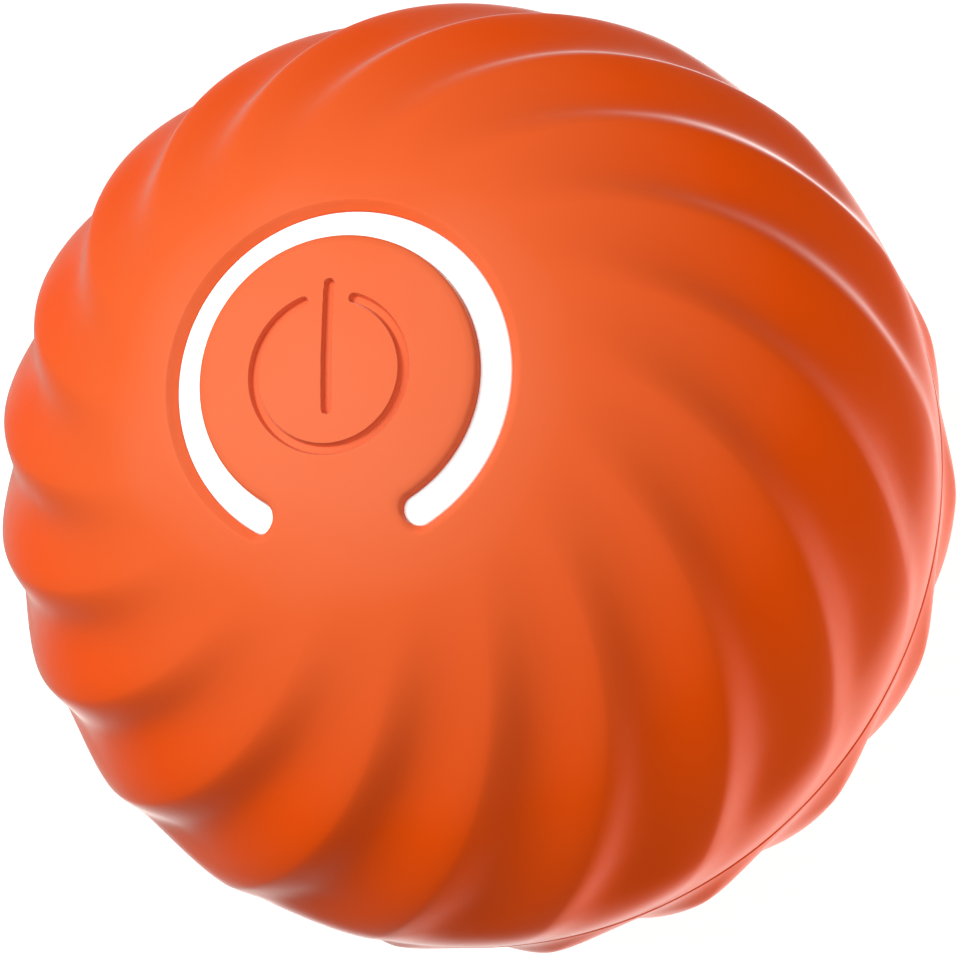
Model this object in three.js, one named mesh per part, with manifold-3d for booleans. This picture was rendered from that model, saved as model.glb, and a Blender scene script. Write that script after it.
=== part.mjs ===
// Bouncing dog ball: a ribbed silicone cover over a hard two part core that holds a lit power
// button, a battery, a circuit board and a geared motor that turns an eccentric weight.
// Millimetres and degrees. The origin is the middle of the ball, +Z runs out through the power
// button, and the soft neck of the button lies towards -Y.

import * as THREE from 'three';
import { mergeVertices } from 'three/addons/utils/BufferGeometryUtils.js';
import Module from 'manifold-3d';

const wasm = await Module();
wasm.setup();

// Ball and swirl ribs
const ballRadius = 30;
const ribCount = 18;
const ribDepth = 0.9;
const ribLeanShare = 0.8;
const ribPhaseAngle = -4.7;
const ribPhasePolarAngle = 60;
const ribStartAngle = 24;
const ribFullAngle = 50;
const ribFadeAngle = 69;
const ribEndAngle = 88;
const ribValleyShare = 0.43;
const ribCrestPower = 1.6;
const frontSeamFadeAngle = 14;
const rearSeamFadeAngle = 9;
const seamDip = 0.7;
const seamGap = 0.2;
const polarRowAngles = [0, 14, 24, 33, 43, 54, 65, 75, 83, 90];
const stepsPerRib = 5;
const rearRibSteps = 2;

// Sleeves
const sleeveWall = 2.7;
const sleeveClearance = 0.3;
const keyCount = 4;
const keyWidth = 3;
const keyProud = 1.2;
const keyHeight = 3;
const keyClearance = 0.3;

// Round window, button tongue and light ring
const buttonRadius = 8;
const windowWidth = 1.4;
const neckAngle = 50;
const hingeGap = 0.3;
const tongueLift = 0.6;
const ringSideGap = 0.2;
const ringRecess = 0.6;
const ringFlangeWidth = 1.2;
const ringFlangeThickness = 1;

// Core shells
const coreWall = 2;
const coreGap = 0.3;
const rimWidth = 3.8;
const rimHeight = 3;
const sealRadius = 0.6;
const sealGroovePlay = 0.25;
const sealGrooveDepth = 1.4;
const columnInset = 5.5;
const columnRadius = 2.9;
const columnAngle = 55;

// Button stack under the tongue
const coreButtonRadius = 4.5;
const coreButtonProud = 0.3;
const coreButtonFlangeWidth = 1.6;
const coreButtonFlangeThickness = 0.8;
const coreButtonStemRadius = 2.2;
const slideGap = 0.3;
const switchSide = 6;
const switchHeight = 3.4;
const plungerRadius = 1.7;
const plungerProud = 1.5;
const plungerDepth = 1.8;

// Circuit board and what is soldered on it
const boardThickness = 1.6;
const boardColumnGap = 0.6;
const boardGap = 0.3;
const postInset = 2.7;
const postRadius = 2.2;
const postAngle = 45;
const ledCount = 6;
const ledLength = 3;
const ledWidth = 1.6;
const ledHeight = 1.2;
const ledClearance = 0.5;
const chipSide = 4;
const chipHeight = 0.9;
const sensorRadius = 1.5;
const sensorHeight = 2.2;
const chipGap = 0.5;
const usbWidth = 9;
const usbHeight = 3.2;
const usbLength = 7.3;
const usbWall = 0.4;
const usbTongueThickness = 0.7;
const usbPocketWidth = 13;
const usbPocketHeight = 6.8;
const usbPocketWall = 1.2;
const usbPocketDepth = 4.2;

// Chassis, motor and battery
const chassisThickness = 2;
const earRadius = 2.9;
const armWidth = 4.4;
const motorWidth = 12;
const motorFlatWidth = 10;
const motorCanLength = 12.2;
const motorCapLength = 2;
const motorCapInset = 0.3;
const motorBossRadius = 2;
const motorBossHeight = 0.8;
const motorShaftRadius = 0.75;
const motorShaftDepth = 2;
const motorTopGap = 0.4;
const motorScrewOffset = 4.2;
const cradleWall = 1.2;
const cradleHeight = 4;
const cradleGap = 0.3;
const cellRadius = 5;
const cellLength = 28;
const cellMotorGap = 2;
const saddleFloor = 1;
const saddleWall = 1.6;
const saddleOffset = 8;
const saddleGap = 0.15;
const tabThickness = 0.3;
const tabWidth = 4;
const tabHeight = 7;
const padLength = 10;
const padWidth = 6;
const padGap = 0.3;
const wireRadius = 0.5;

// Gear train
const gearModule = 0.5;
const pinionTeeth = 10;
const wheelTeeth = 25;
const meshClearance = 0.12;
const toothTopShare = 0.22;
const toothRootShare = 0.62;
const addendumShare = 0.9;
const dedendumShare = 1.2;
const stageOneWidth = 2;
const stageTwoWidth = 2.4;
const gearGap = 0.4;
const boreClearance = 0.2;
const idlerAxleRadius = 0.75;
const axleSocketDepth = 0.8;
const axleEndGap = 0.2;
const coverThickness = 1.2;
const coverSeatGap = 0.1;
const coverPostInset = 2.2;
const coverPostRadius = 1.9;
const coverPostAngles = [80, 160, 250, 330];
const outputShaftRadius = 1.5;
const bushWall = 1.3;
const bushFlangeWidth = 0.8;
const bushFlangeThickness = 0.4;

// Eccentric weight
const weightColumnGap = 0.6;
const weightThickness = 7.6;
const weightAngle = 200;
const weightHubRadius = 4.5;
const weightHubProud = 0.6;
const weightTopGap = 1.4;

// Screws
const bigScrewRadius = 1;
const bigHeadRadius = 1.9;
const bigHeadHeight = 1.6;
const bigScrewLength = 12.5;
const smallScrewRadius = 0.7;
const smallHeadRadius = 1.4;
const smallHeadHeight = 0.8;
const smallScrewLength = 4.4;
const screwClearance = 0.3;
const counterboreFloor = 4.6;

// Facets round each kind of circle, and the overrun of a cut past the face that it leaves
const sphereSides = 28;
const innerSides = 16;
const ringSides = 30;
const roundEndSides = 4;
const shaftSides = 10;
const screwSides = 8;
const wireSides = 6;
const sealSides = 5;
const cutOverrun = 1;

// Heights and radii that follow from the sizes above
const coreRadius = ballRadius - sleeveWall - sleeveClearance;
const coreInnerRadius = coreRadius - coreWall;
const coreFitRadius = coreInnerRadius * Math.cos(Math.PI / innerSides);
const sleeveInnerRadius = ballRadius - sleeveWall;
const windowRadius = buttonRadius + windowWidth;
const partingHalf = coreGap / 2;
const chassisTop = chassisThickness / 2;
const chassisBottom = -chassisTop;
const gearCentre = gearModule * (pinionTeeth + wheelTeeth) / 2 + meshClearance;
const motorY = gearCentre;
const motorTop = chassisTop + motorCanLength + motorCapLength;
const boardBottom = motorTop + motorTopGap;
const boardTop = boardBottom + boardThickness;
const columnCircle = coreInnerRadius - columnInset;
const boardRadius = columnCircle - columnRadius - boardColumnGap;
const plateRadius = boardRadius - coreGap;
const coverCircle = plateRadius - coverPostInset;
const stageOneTop = chassisBottom - gearGap;
const stageOneBottom = stageOneTop - stageOneWidth;
const stageTwoTop = stageOneBottom - gearGap;
const stageTwoBottom = stageTwoTop - stageTwoWidth;
const coverTop = stageTwoBottom - gearGap;
const coverBottom = coverTop - coverThickness;
const coverFace = coverTop - coverSeatGap;
const weightTop = coverBottom - weightTopGap;
const weightBottom = weightTop - weightThickness;
const weightRadius = columnCircle - columnRadius - weightColumnGap;
const idlerX = gearCentre * Math.sin(Math.PI / 3);
const idlerY = gearCentre * Math.cos(Math.PI / 3);
const cellY = motorY - motorFlatWidth / 2 - cellMotorGap - cellRadius;
const cellZ = chassisTop + saddleFloor + cellRadius;
const postCircle = boardRadius - postInset;
const ringCircle = buttonRadius + windowWidth / 2;
const tongueBottom = coreRadius + tongueLift;
const plungerTop = boardTop + switchHeight + plungerProud;
const usbTop = boardBottom;
const usbMiddle = usbTop - usbHeight / 2;
const motorHeadDepth = smallHeadHeight + screwClearance;
const bigHole = bigScrewRadius + screwClearance;
const bigHeadHole = bigHeadRadius + screwClearance;
const smallHole = smallScrewRadius + screwClearance;
const smallHeadHole = smallHeadRadius + screwClearance;
const idlerBore = idlerAxleRadius + boreClearance;
const outputBore = outputShaftRadius + boreClearance;
const bushRadius = outputBore + bushWall;
const bushSeat = bushRadius + boreClearance;
const midWall = coreRadius - coreWall / 2;

// Colours and finishes
const orangeSilicone = finish(0xe8511c, 0.55, 0);
const whitePlastic = finish(0xf2f1ec, 0.4, 0);
const lightGuide = finish(0xffffff, 0.25, 0);
const greyPlastic = finish(0x6f7378, 0.5, 0);
const blackPlastic = finish(0x1b1c1e, 0.5, 0);
const boardGreen = finish(0x1d6b3c, 0.5, 0);
const steel = finish(0xb9bcc0, 0.3, 1);
const zinc = finish(0x9a9da1, 0.45, 1);
const brass = finish(0xc9a24a, 0.3, 1);
const gearPlastic = finish(0xefe9d8, 0.45, 0);
const cellWrap = finish(0x2f6fb5, 0.4, 0);
const sealRubber = finish(0x2a2a2a, 0.8, 0);
const padFoam = finish(0x44474b, 0.9, 0);
const wireRed = finish(0xc01818, 0.5, 0);
const wireBlack = finish(0x161616, 0.5, 0);

function finish(color, roughness, metalness) {
  return new THREE.MeshStandardMaterial({ color, roughness, metalness });
}

// Solids: closed meshes as exact solids for cutting and joining

function solidFrom(geometry) {
  const bare = geometry.clone();
  bare.deleteAttribute('normal');
  bare.deleteAttribute('uv');
  const merged = mergeVertices(bare, 1e-5);
  const vertProperties = new Float32Array(merged.attributes.position.array);
  const triVerts = new Uint32Array(merged.index.array);
  return new wasm.Manifold(new wasm.Mesh({ numProp: 3, vertProperties, triVerts }));
}

function geometryFrom(solid) {
  const mesh = solid.getMesh();
  const geometry = new THREE.BufferGeometry();
  geometry.setAttribute('position', new THREE.BufferAttribute(new Float32Array(mesh.vertProperties), 3));
  geometry.setIndex(new THREE.BufferAttribute(new Uint32Array(mesh.triVerts), 1));
  geometry.computeVertexNormals();
  return geometry;
}

function radians(degrees) {
  return THREE.MathUtils.degToRad(degrees);
}

// A round solid about +Z from a profile of [radius, height] points, listed anticlockwise with
// radius to the right and height upwards
function revolve(profile, sides) {
  const points = profile.map(([radius, height]) => new THREE.Vector2(radius, height));
  points.push(points[0].clone());
  const geometry = new THREE.LatheGeometry(points, sides);
  geometry.rotateX(Math.PI / 2);
  return solidFrom(geometry);
}

function cylinder(radius, bottom, top, sides, x = 0, y = 0) {
  const geometry = new THREE.CylinderGeometry(radius, radius, top - bottom, sides);
  geometry.rotateX(Math.PI / 2);
  geometry.translate(x, y, (bottom + top) / 2);
  return solidFrom(geometry);
}

// A cutter for a round hole that runs past both faces
function through(radius, bottom, top, x = 0, y = 0, sides = screwSides) {
  return cylinder(radius, bottom - cutOverrun, top + cutOverrun, sides, x, y);
}

function tube(outer, inner, bottom, top, sides) {
  return revolve([[inner, bottom], [outer, bottom], [outer, top], [inner, top]], sides);
}

function box(low, high) {
  const size = high.map((value, index) => value - low[index]);
  const geometry = new THREE.BoxGeometry(...size);
  geometry.translate(...high.map((value, index) => (value + low[index]) / 2));
  return solidFrom(geometry);
}

function extrude(outline, bottom, top) {
  const geometry = new THREE.ExtrudeGeometry(new THREE.Shape(outline), {
    depth: top - bottom, bevelEnabled: false, steps: 1,
  });
  geometry.translate(0, 0, bottom);
  return solidFrom(geometry);
}

// Points along an arc, ends included, with angles in degrees
function arc(radius, from, to, steps, x = 0, y = 0) {
  return Array.from({ length: steps + 1 }, (unused, index) => {
    const [across, up] = polar(radius, from + (to - from) * index / steps);
    return new THREE.Vector2(x + across, y + up);
  });
}

function ball(radius, sides) {
  return solidFrom(new THREE.SphereGeometry(radius, sides, sides / 2).rotateX(Math.PI / 2));
}

function halfSpace(bottom, top) {
  const reach = ballRadius + cutOverrun;
  return box([-reach, -reach, bottom], [reach, reach, top]);
}

function upperHalf(from) {
  return halfSpace(from, ballRadius + cutOverrun);
}

function lowerHalf(from) {
  return halfSpace(-ballRadius - cutOverrun, from);
}

// A copy of a solid turned about +Z
function turned(solid, degrees) {
  return solid.rotate([0, 0, degrees]);
}

function polar(radius, degrees) {
  return [radius * Math.cos(radians(degrees)), radius * Math.sin(radians(degrees))];
}

// Swirl ribs

function smoothRise(value, start, end) {
  return THREE.MathUtils.smoothstep(value, start, end);
}

// Share of the rib depth at a place across the rib: 0 on the crest at a whole number, with a
// short steep side after it, and 1 in the valley
function ribDrop(ribPlace) {
  const share = ribPlace - Math.floor(ribPlace);
  const fall = share / (2 * ribValleyShare);
  const climb = 1 - (1 - share) / (2 * (1 - ribValleyShare));
  return Math.sin(Math.PI * (share < ribValleyShare ? fall : climb)) ** ribCrestPower;
}

// Height of the cover over the middle of the ball, at a polar angle from the button and a
// place across the rib
function coverRadius(polarAngle, ribPlace) {
  const fromPole = Math.min(polarAngle, 180 - polarAngle);
  const front = polarAngle < 90;
  const seam = smoothRise(fromPole, 90 - (front ? frontSeamFadeAngle : rearSeamFadeAngle), 90);
  const start = smoothRise(fromPole, ribStartAngle, ribFullAngle);
  const end = front ? smoothRise(fromPole, ribFadeAngle, ribEndAngle) : seam;
  return ballRadius - seamDip * seam - ribDepth * start * (1 - end) * ribDrop(ribPlace);
}

function ribTurn(polarAngle) {
  return ribPhaseAngle - ribLeanShare * (polarAngle - ribPhasePolarAngle);
}

// The whole ribbed ball: a revolved ball whose every row is turned to follow the ribs and
// whose every point is set to the height of the cover. The rear half is the front half's rib
// shape turned over, so its steep sides face the other way
function ribbedBall() {
  const lower = polarRowAngles.slice(0, -1).reverse().map((angle) => 180 - angle);
  const rows = [...polarRowAngles, ...lower];
  const columns = ribCount * stepsPerRib;
  const outline = rows.map((angle) => {
    return new THREE.Vector2(ballRadius * Math.sin(radians(angle)), ballRadius * Math.cos(radians(angle)));
  });
  outline[0].x = 0;
  outline[rows.length - 1].x = 0;
  const geometry = new THREE.LatheGeometry(outline.reverse(), columns);
  const position = geometry.attributes.position;
  const rowCount = rows.length;
  for (let index = 0; index < position.count; index += 1) {
    const row = rowCount - 1 - index % rowCount;
    const column = Math.floor(index / rowCount) % columns;
    const polarAngle = rows[row];
    const front = polarAngle < 90;
    const ribPlace = (front ? column : -(column + rearRibSteps)) / stepsPerRib;
    const radius = coverRadius(polarAngle, ribPlace);
    const turn = ribTurn(polarAngle) + 360 * column / columns;
    const onAxis = polarAngle === 0 || polarAngle === 180;
    const across = onAxis ? 0 : radius * Math.sin(radians(polarAngle));
    const [x, y] = polar(across, turn);
    position.setXYZ(index, x, y, radius * Math.cos(radians(polarAngle)));
  }
  return solidFrom(geometry);
}

// Sleeves

// Blocks along the parting plane that stop the sleeves from turning on the core
function keys(width, height, proud) {
  let joined = null;
  for (let index = 0; index < keyCount; index += 1) {
    const block = box([coreInnerRadius, -width / 2, -height], [coreRadius + proud, width / 2, height]);
    const placed = turned(block, 360 * index / keyCount);
    joined = joined ? joined.add(placed) : placed;
  }
  return joined;
}

function sleeveBlank(half) {
  const slots = keys(keyWidth + 2 * keyClearance, keyHeight + keyClearance, keyProud + keyClearance);
  return ribbedBall().intersect(half).subtract(ball(sleeveInnerRadius, sphereSides)).subtract(slots);
}

function frontSleeve() {
  const window = cylinder(windowRadius, coreInnerRadius / 2, ballRadius + cutOverrun, ringSides);
  return sleeveBlank(upperHalf(seamGap / 2)).subtract(window);
}

function rearSleeve() {
  return sleeveBlank(lowerHalf(-seamGap / 2));
}

// Outline of a band round +Z that is open over an angle about -Y and has square ends
function openBand(inner, outer, openAngle) {
  const start = -90 + openAngle / 2;
  const end = 270 - openAngle / 2;
  return [...arc(outer, start, end, innerSides), ...arc(inner, end, start, innerSides)];
}

// The same with half round ends that reach out to the open angle
function roundBand(inner, outer, openAngle) {
  const middle = (inner + outer) / 2;
  const endRadius = (outer - inner) / 2;
  const endTurn = THREE.MathUtils.radToDeg(endRadius / middle);
  const start = -90 + openAngle / 2 + endTurn;
  const end = 270 - openAngle / 2 - endTurn;
  return [
    ...arc(outer, start, end, ringSides),
    ...arc(endRadius, end, end + 180, roundEndSides, ...polar(middle, end)).slice(1, -1),
    ...arc(inner, end, start, ringSides),
    ...arc(endRadius, start + 180, start + 360, roundEndSides, ...polar(middle, start)).slice(1, -1),
  ];
}

// The disc and neck of the power button, cut free from the front sleeve by the C shaped window
function powerButton() {
  const slot = extrude(
    roundBand(buttonRadius, windowRadius, neckAngle), coreInnerRadius / 2, ballRadius + cutOverrun,
  );
  const outside = extrude(
    openBand(ringCircle, windowRadius + cutOverrun, neckAngle + windowTurn(2)),
    coreInnerRadius / 2, ballRadius + cutOverrun,
  );
  const disc = cylinder(windowRadius - hingeGap, tongueBottom, ballRadius + cutOverrun, ringSides);
  return disc.intersect(ball(ballRadius, ringSides)).subtract(slot).subtract(outside);
}

// Turn about +Z of a number of half widths of the window, along its middle circle
function windowTurn(halfWidths) {
  return THREE.MathUtils.radToDeg(halfWidths * windowWidth / 2 / ringCircle);
}

// Light guide: a C shaped wall that stands on the board, with a flange under the core shell
function ledAngles() {
  const span = 360 - neckAngle;
  return Array.from({ length: ledCount }, (unused, index) => {
    return -90 + neckAngle / 2 + span * (index + 0.5) / ledCount;
  });
}

function lightRing() {
  const ringTurn = THREE.MathUtils.radToDeg(ringSideGap / ringCircle);
  const openAngle = neckAngle + 2 * ringTurn;
  const inner = buttonRadius + ringSideGap;
  const outer = windowRadius - ringSideGap;
  const bottom = boardTop + boardGap;
  const flangeOuter = outer + ringFlangeWidth;
  const flangeTop = Math.sqrt(coreFitRadius ** 2 - flangeOuter ** 2) - coreGap;
  const flangeOutline = openBand(inner - ringFlangeWidth, flangeOuter, openAngle);
  let solid = extrude(roundBand(inner, outer, openAngle), bottom, ballRadius)
    .intersect(ball(ballRadius - ringRecess, ringSides))
    .add(extrude(flangeOutline, flangeTop - ringFlangeThickness, flangeTop));
  const pocket = box(
    [ringCircle - ledWidth, -ledLength / 2 - ledClearance, boardTop],
    [ringCircle + ledWidth, ledLength / 2 + ledClearance, boardTop + ledHeight + ledClearance],
  );
  for (const angle of ledAngles()) {
    solid = solid.subtract(turned(pocket, angle));
  }
  return solid;
}

// Core shells

function columnAngles() {
  return [columnAngle, 180 - columnAngle, 180 + columnAngle, 360 - columnAngle];
}

function columnPlaces() {
  return columnAngles().map((angle) => polar(columnCircle, angle));
}

function shellBlank(half) {
  const rim = inShell(tube(midWall, coreRadius - rimWidth, -rimHeight, rimHeight, sphereSides));
  return ball(coreRadius, sphereSides)
    .subtract(ball(coreInnerRadius, innerSides))
    .add(rim)
    .add(keys(keyWidth, keyHeight, keyProud))
    .intersect(half);
}

// What of a solid lies inside the middle of the shell's wall, so that it joins the shell
function inShell(solid) {
  return solid.intersect(ball(midWall, sphereSides));
}

// A box shaped recess in the shell for the plug of a charging cable, closed at its inner end
function usbBlock() {
  const halfWidth = usbPocketWidth / 2 + usbPocketWall;
  const halfHeight = usbPocketHeight / 2 + usbPocketWall;
  const floor = usbFloor() + usbPocketWall;
  return inShell(box(
    [-halfWidth, -ballRadius, usbMiddle - halfHeight],
    [halfWidth, floor, usbMiddle + halfHeight],
  ));
}

function usbFloor() {
  return -Math.sqrt(coreRadius ** 2 - usbMiddle ** 2) + usbPocketDepth;
}

function usbCut() {
  const slot = usbWall + screwClearance;
  return box(
    [-usbPocketWidth / 2, -ballRadius, usbMiddle - usbPocketHeight / 2],
    [usbPocketWidth / 2, usbFloor(), usbMiddle + usbPocketHeight / 2],
  ).add(box(
    [-usbWidth / 2 - slot, -ballRadius, usbMiddle - usbHeight / 2 - slot],
    [usbWidth / 2 + slot, usbFloor() + usbPocketWall + cutOverrun, usbMiddle + usbHeight / 2 + slot],
  ));
}

function postPlaces() {
  return [0, 1, 2, 3].map((index) => polar(postCircle, postAngle + 90 * index));
}

function frontCoreShell() {
  const ringTurn = THREE.MathUtils.radToDeg(ringSideGap / ringCircle);
  let solid = shellBlank(upperHalf(partingHalf)).add(usbBlock());
  for (const [x, y] of columnPlaces()) {
    const column = cylinder(columnRadius, chassisTop + coreGap, coreRadius, shaftSides, x, y);
    solid = solid.add(inShell(column));
  }
  for (const [x, y] of postPlaces()) {
    solid = solid.add(inShell(cylinder(postRadius, boardTop + boardGap, coreRadius, shaftSides, x, y)));
  }
  const screwTop = counterboreLevel() + bigScrewLength + screwClearance;
  for (const [x, y] of columnPlaces()) {
    solid = solid.subtract(cylinder(bigHole, chassisTop, screwTop, screwSides, x, y));
  }
  const boardScrewTop = boardBottom + smallScrewLength + screwClearance;
  for (const [x, y] of postPlaces()) {
    solid = solid.subtract(cylinder(smallHole, boardBottom, boardScrewTop, screwSides, x, y));
  }
  const slot = roundBand(buttonRadius, windowRadius, neckAngle - ringTurn);
  return solid
    .subtract(extrude(slot, coreInnerRadius / 2, ballRadius))
    .subtract(cylinder(coreButtonRadius + slideGap, coreInnerRadius / 2, ballRadius, innerSides))
    .subtract(usbCut());
}

// Seat of the case screws' heads, up in the tubes of the rear shell
function counterboreLevel() {
  return -partingHalf - chassisTop - counterboreFloor;
}

function rearCoreShell() {
  let solid = shellBlank(lowerHalf(-partingHalf));
  for (const [x, y] of columnPlaces()) {
    const column = cylinder(columnRadius, -coreRadius, chassisBottom - coreGap, shaftSides, x, y);
    solid = solid.add(inShell(column));
  }
  for (const [x, y] of columnPlaces()) {
    solid = solid
      .subtract(cylinder(bigHole, -coreRadius, partingHalf, screwSides, x, y))
      .subtract(cylinder(bigHeadHole, -ballRadius, counterboreLevel(), shaftSides, x, y));
  }
  const grooveMiddle = sealCircle();
  const half = sealRadius + sealGroovePlay;
  return solid.subtract(tube(
    grooveMiddle + half, grooveMiddle - half, -partingHalf - sealGrooveDepth, cutOverrun, sphereSides,
  ));
}

function sealCircle() {
  return coreRadius - rimWidth / 2;
}

function coreSeal() {
  const middle = sealCircle();
  const height = -partingHalf - sealRadius;
  const profile = arc(sealRadius, 0, 360, sealSides, middle, height).slice(0, -1);
  return revolve(profile.map((point) => [point.x, point.y]), sphereSides);
}

// Buttons and switch

function coreButton() {
  const flangeRadius = coreButtonRadius + coreButtonFlangeWidth;
  const flangeTop = Math.sqrt(coreFitRadius ** 2 - flangeRadius ** 2) - slideGap;
  const flangeBottom = flangeTop - coreButtonFlangeThickness;
  const top = tongueBottom - slideGap;
  return revolve([
    [0, plungerTop + slideGap],
    [coreButtonStemRadius, plungerTop + slideGap],
    [coreButtonStemRadius, flangeBottom],
    [flangeRadius, flangeBottom],
    [flangeRadius, flangeTop],
    [coreButtonRadius, flangeTop],
    [coreButtonRadius, top - coreButtonProud],
    [coreButtonRadius - coreButtonProud, top],
    [0, top],
  ], innerSides);
}

function switchBody() {
  const half = switchSide / 2;
  const top = boardTop + switchHeight;
  const floor = top - plungerDepth - slideGap;
  const hole = cylinder(plungerRadius + slideGap, floor, top + cutOverrun, shaftSides);
  return box([-half, -half, boardTop], [half, half, top]).subtract(hole);
}

function switchPlunger() {
  return cylinder(plungerRadius, boardTop + switchHeight - plungerDepth + slideGap, plungerTop, shaftSides);
}

// Circuit board

function circuitBoard() {
  let solid = cylinder(boardRadius, boardBottom, boardTop, sphereSides);
  for (const [x, y] of postPlaces()) {
    solid = solid.subtract(through(smallHole, boardBottom, boardTop, x, y));
  }
  return solid;
}

function led() {
  return box(
    [ringCircle - ledWidth / 2, -ledLength / 2, boardTop],
    [ringCircle + ledWidth / 2, ledLength / 2, boardTop + ledHeight],
  );
}

function controllerChip() {
  const half = chipSide / 2;
  const middle = ringCircle + ledWidth / 2 + chipGap + half;
  return box([middle - half, -half, boardTop], [middle + half, half, boardTop + chipHeight]);
}

function motionSensor() {
  const middle = ringCircle + ledWidth / 2 + chipGap + sensorRadius;
  return cylinder(sensorRadius, boardTop, boardTop + sensorHeight, shaftSides, -middle, 0);
}

function usbFace() {
  return usbFloor() + screwClearance;
}

function usbSocket() {
  const shell = roundBar(usbWidth, usbHeight, usbFace(), usbLength);
  const mouth = roundBar(
    usbWidth - 2 * usbWall, usbHeight - 2 * usbWall, usbFace() - cutOverrun, usbLength - usbWall,
  );
  return shell.subtract(mouth);
}

function usbContact() {
  const half = usbWidth / 2 - 2 * usbWall - screwClearance;
  const front = usbFace() + 2 * usbWall;
  const back = usbFace() + usbLength - usbWall - cutOverrun - screwClearance;
  return box(
    [-half, front, usbMiddle - usbTongueThickness / 2],
    [half, back, usbMiddle + usbTongueThickness / 2],
  );
}

// A bar along +Y with an upright section whose two sides are round
function roundBar(width, height, front, length) {
  const radius = height / 2;
  const reach = width / 2 - radius;
  const outline = [
    ...arc(radius, -90, 90, roundEndSides, reach, 0),
    ...arc(radius, 90, 270, roundEndSides, -reach, 0),
  ];
  return extrude(outline, 0, length).rotate([90, 0, 0]).translate([0, front + length, usbMiddle]);
}

// Chassis

function chassis() {
  let solid = cylinder(plateRadius, chassisBottom, chassisTop, sphereSides);
  const arm = box(
    [plateRadius - earRadius, -armWidth / 2, chassisBottom],
    [columnCircle, armWidth / 2, chassisTop],
  ).add(cylinder(earRadius, chassisBottom, chassisTop, shaftSides, columnCircle, 0));
  for (const angle of columnAngles()) {
    solid = solid.add(turned(arm, angle));
  }
  solid = solid.add(motorCradle()).add(batterySaddle(-saddleOffset)).add(batterySaddle(saddleOffset));
  for (const [x, y] of coverPostPlaces()) {
    solid = solid.add(cylinder(coverPostRadius, coverTop, chassisTop, screwSides, x, y));
  }
  for (const [x, y] of columnPlaces()) {
    solid = solid.subtract(through(bigHole, chassisBottom, chassisTop, x, y));
  }
  for (const [x, y] of coverPostPlaces()) {
    const screwTop = coverScrewTop() + screwClearance;
    solid = solid.subtract(cylinder(smallHole, coverTop - cutOverrun, screwTop, screwSides, x, y));
  }
  for (const side of [-1, 1]) {
    const x = side * motorScrewOffset;
    const headSeat = chassisBottom + motorHeadDepth;
    solid = solid
      .subtract(through(smallHole, chassisBottom, chassisTop, x, motorY))
      .subtract(cylinder(smallHeadHole, chassisBottom - cutOverrun, headSeat, screwSides, x, motorY));
  }
  const axleTop = chassisBottom + axleSocketDepth;
  return solid
    .subtract(through(motorBossRadius + screwClearance, chassisBottom, chassisTop, 0, motorY, shaftSides))
    .subtract(through(bushSeat, chassisBottom, chassisTop, 0, 0, shaftSides))
    .subtract(cylinder(idlerBore, chassisBottom - cutOverrun, axleTop, shaftSides, idlerX, idlerY));
}

function motorCradle() {
  const inner = motorWidth / 2 + cradleGap;
  const half = motorFlatWidth / 2;
  const wall = (side) => box(
    [Math.min(side * inner, side * (inner + cradleWall)), motorY - half, chassisBottom],
    [Math.max(side * inner, side * (inner + cradleWall)), motorY + half, chassisTop + cradleHeight],
  );
  return wall(-1).add(wall(1));
}

function batterySaddle(x) {
  const half = cellRadius - cradleWall;
  const block = box(
    [x - saddleWall / 2, cellY - half, chassisBottom],
    [x + saddleWall / 2, cellY + half, cellZ - cradleWall],
  );
  return block.subtract(alongX(cellRadius + saddleGap, -cellLength, cellLength));
}

// A cylinder along +X on the axis of the battery cell
function alongX(radius, from, to) {
  const geometry = new THREE.CylinderGeometry(radius, radius, to - from, sphereSides);
  geometry.rotateZ(Math.PI / 2);
  geometry.translate((from + to) / 2, cellY, cellZ);
  return solidFrom(geometry);
}

function coverPostPlaces() {
  return coverPostAngles.map((angle) => polar(coverCircle, angle));
}

function coverScrewTop() {
  return coverBottom + smallScrewLength;
}

// Battery

function batteryCell() {
  return alongX(cellRadius, -cellLength / 2, cellLength / 2);
}

function batteryTab(side) {
  const inner = side * cellLength / 2;
  const outer = side * (cellLength / 2 + tabThickness);
  return box(
    [Math.min(inner, outer), cellY - tabWidth / 2, cellZ - tabHeight / 2],
    [Math.max(inner, outer), cellY + tabWidth / 2, cellZ + tabHeight / 2],
  );
}

function batteryPad() {
  const bottom = cellZ + cellRadius + padGap;
  return box(
    [-padLength / 2, cellY - padWidth / 2, bottom],
    [padLength / 2, cellY + padWidth / 2, boardBottom - padGap],
  );
}

// A wire through hand chosen points, straight out of each end
function wire(points) {
  const path = new THREE.CatmullRomCurve3(points.map((point) => new THREE.Vector3(...point)));
  const section = new THREE.Shape(arc(wireRadius, 0, 360, wireSides).slice(0, -1));
  const geometry = new THREE.ExtrudeGeometry(section, {
    steps: 2 * points.length, bevelEnabled: false, extrudePath: path,
  });
  return solidFrom(geometry);
}

function batteryWire(side) {
  const start = cellLength / 2 + tabThickness + wireRadius + padGap;
  return wire([
    [side * start, cellY, cellZ + wireRadius],
    [side * start, cellY, cellZ + cellRadius / 2],
    [side * (start - wireRadius), cellY, cellZ + cellRadius + wireRadius],
    [side * (start - 2 * wireRadius), cellY, boardBottom - padGap],
  ]);
}

function motorWire(side) {
  const start = motorWidth / 2 + padGap;
  const level = motorTop - motorCapLength;
  const y = motorY - motorFlatWidth / 4;
  return wire([
    [side * start, y, level],
    [side * (start + 2 * wireRadius), y, level],
    [side * (start + 3 * wireRadius), y, level + motorCapLength / 2],
    [side * (start + 3 * wireRadius), y, boardBottom - padGap],
  ]);
}

// Motor

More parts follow.
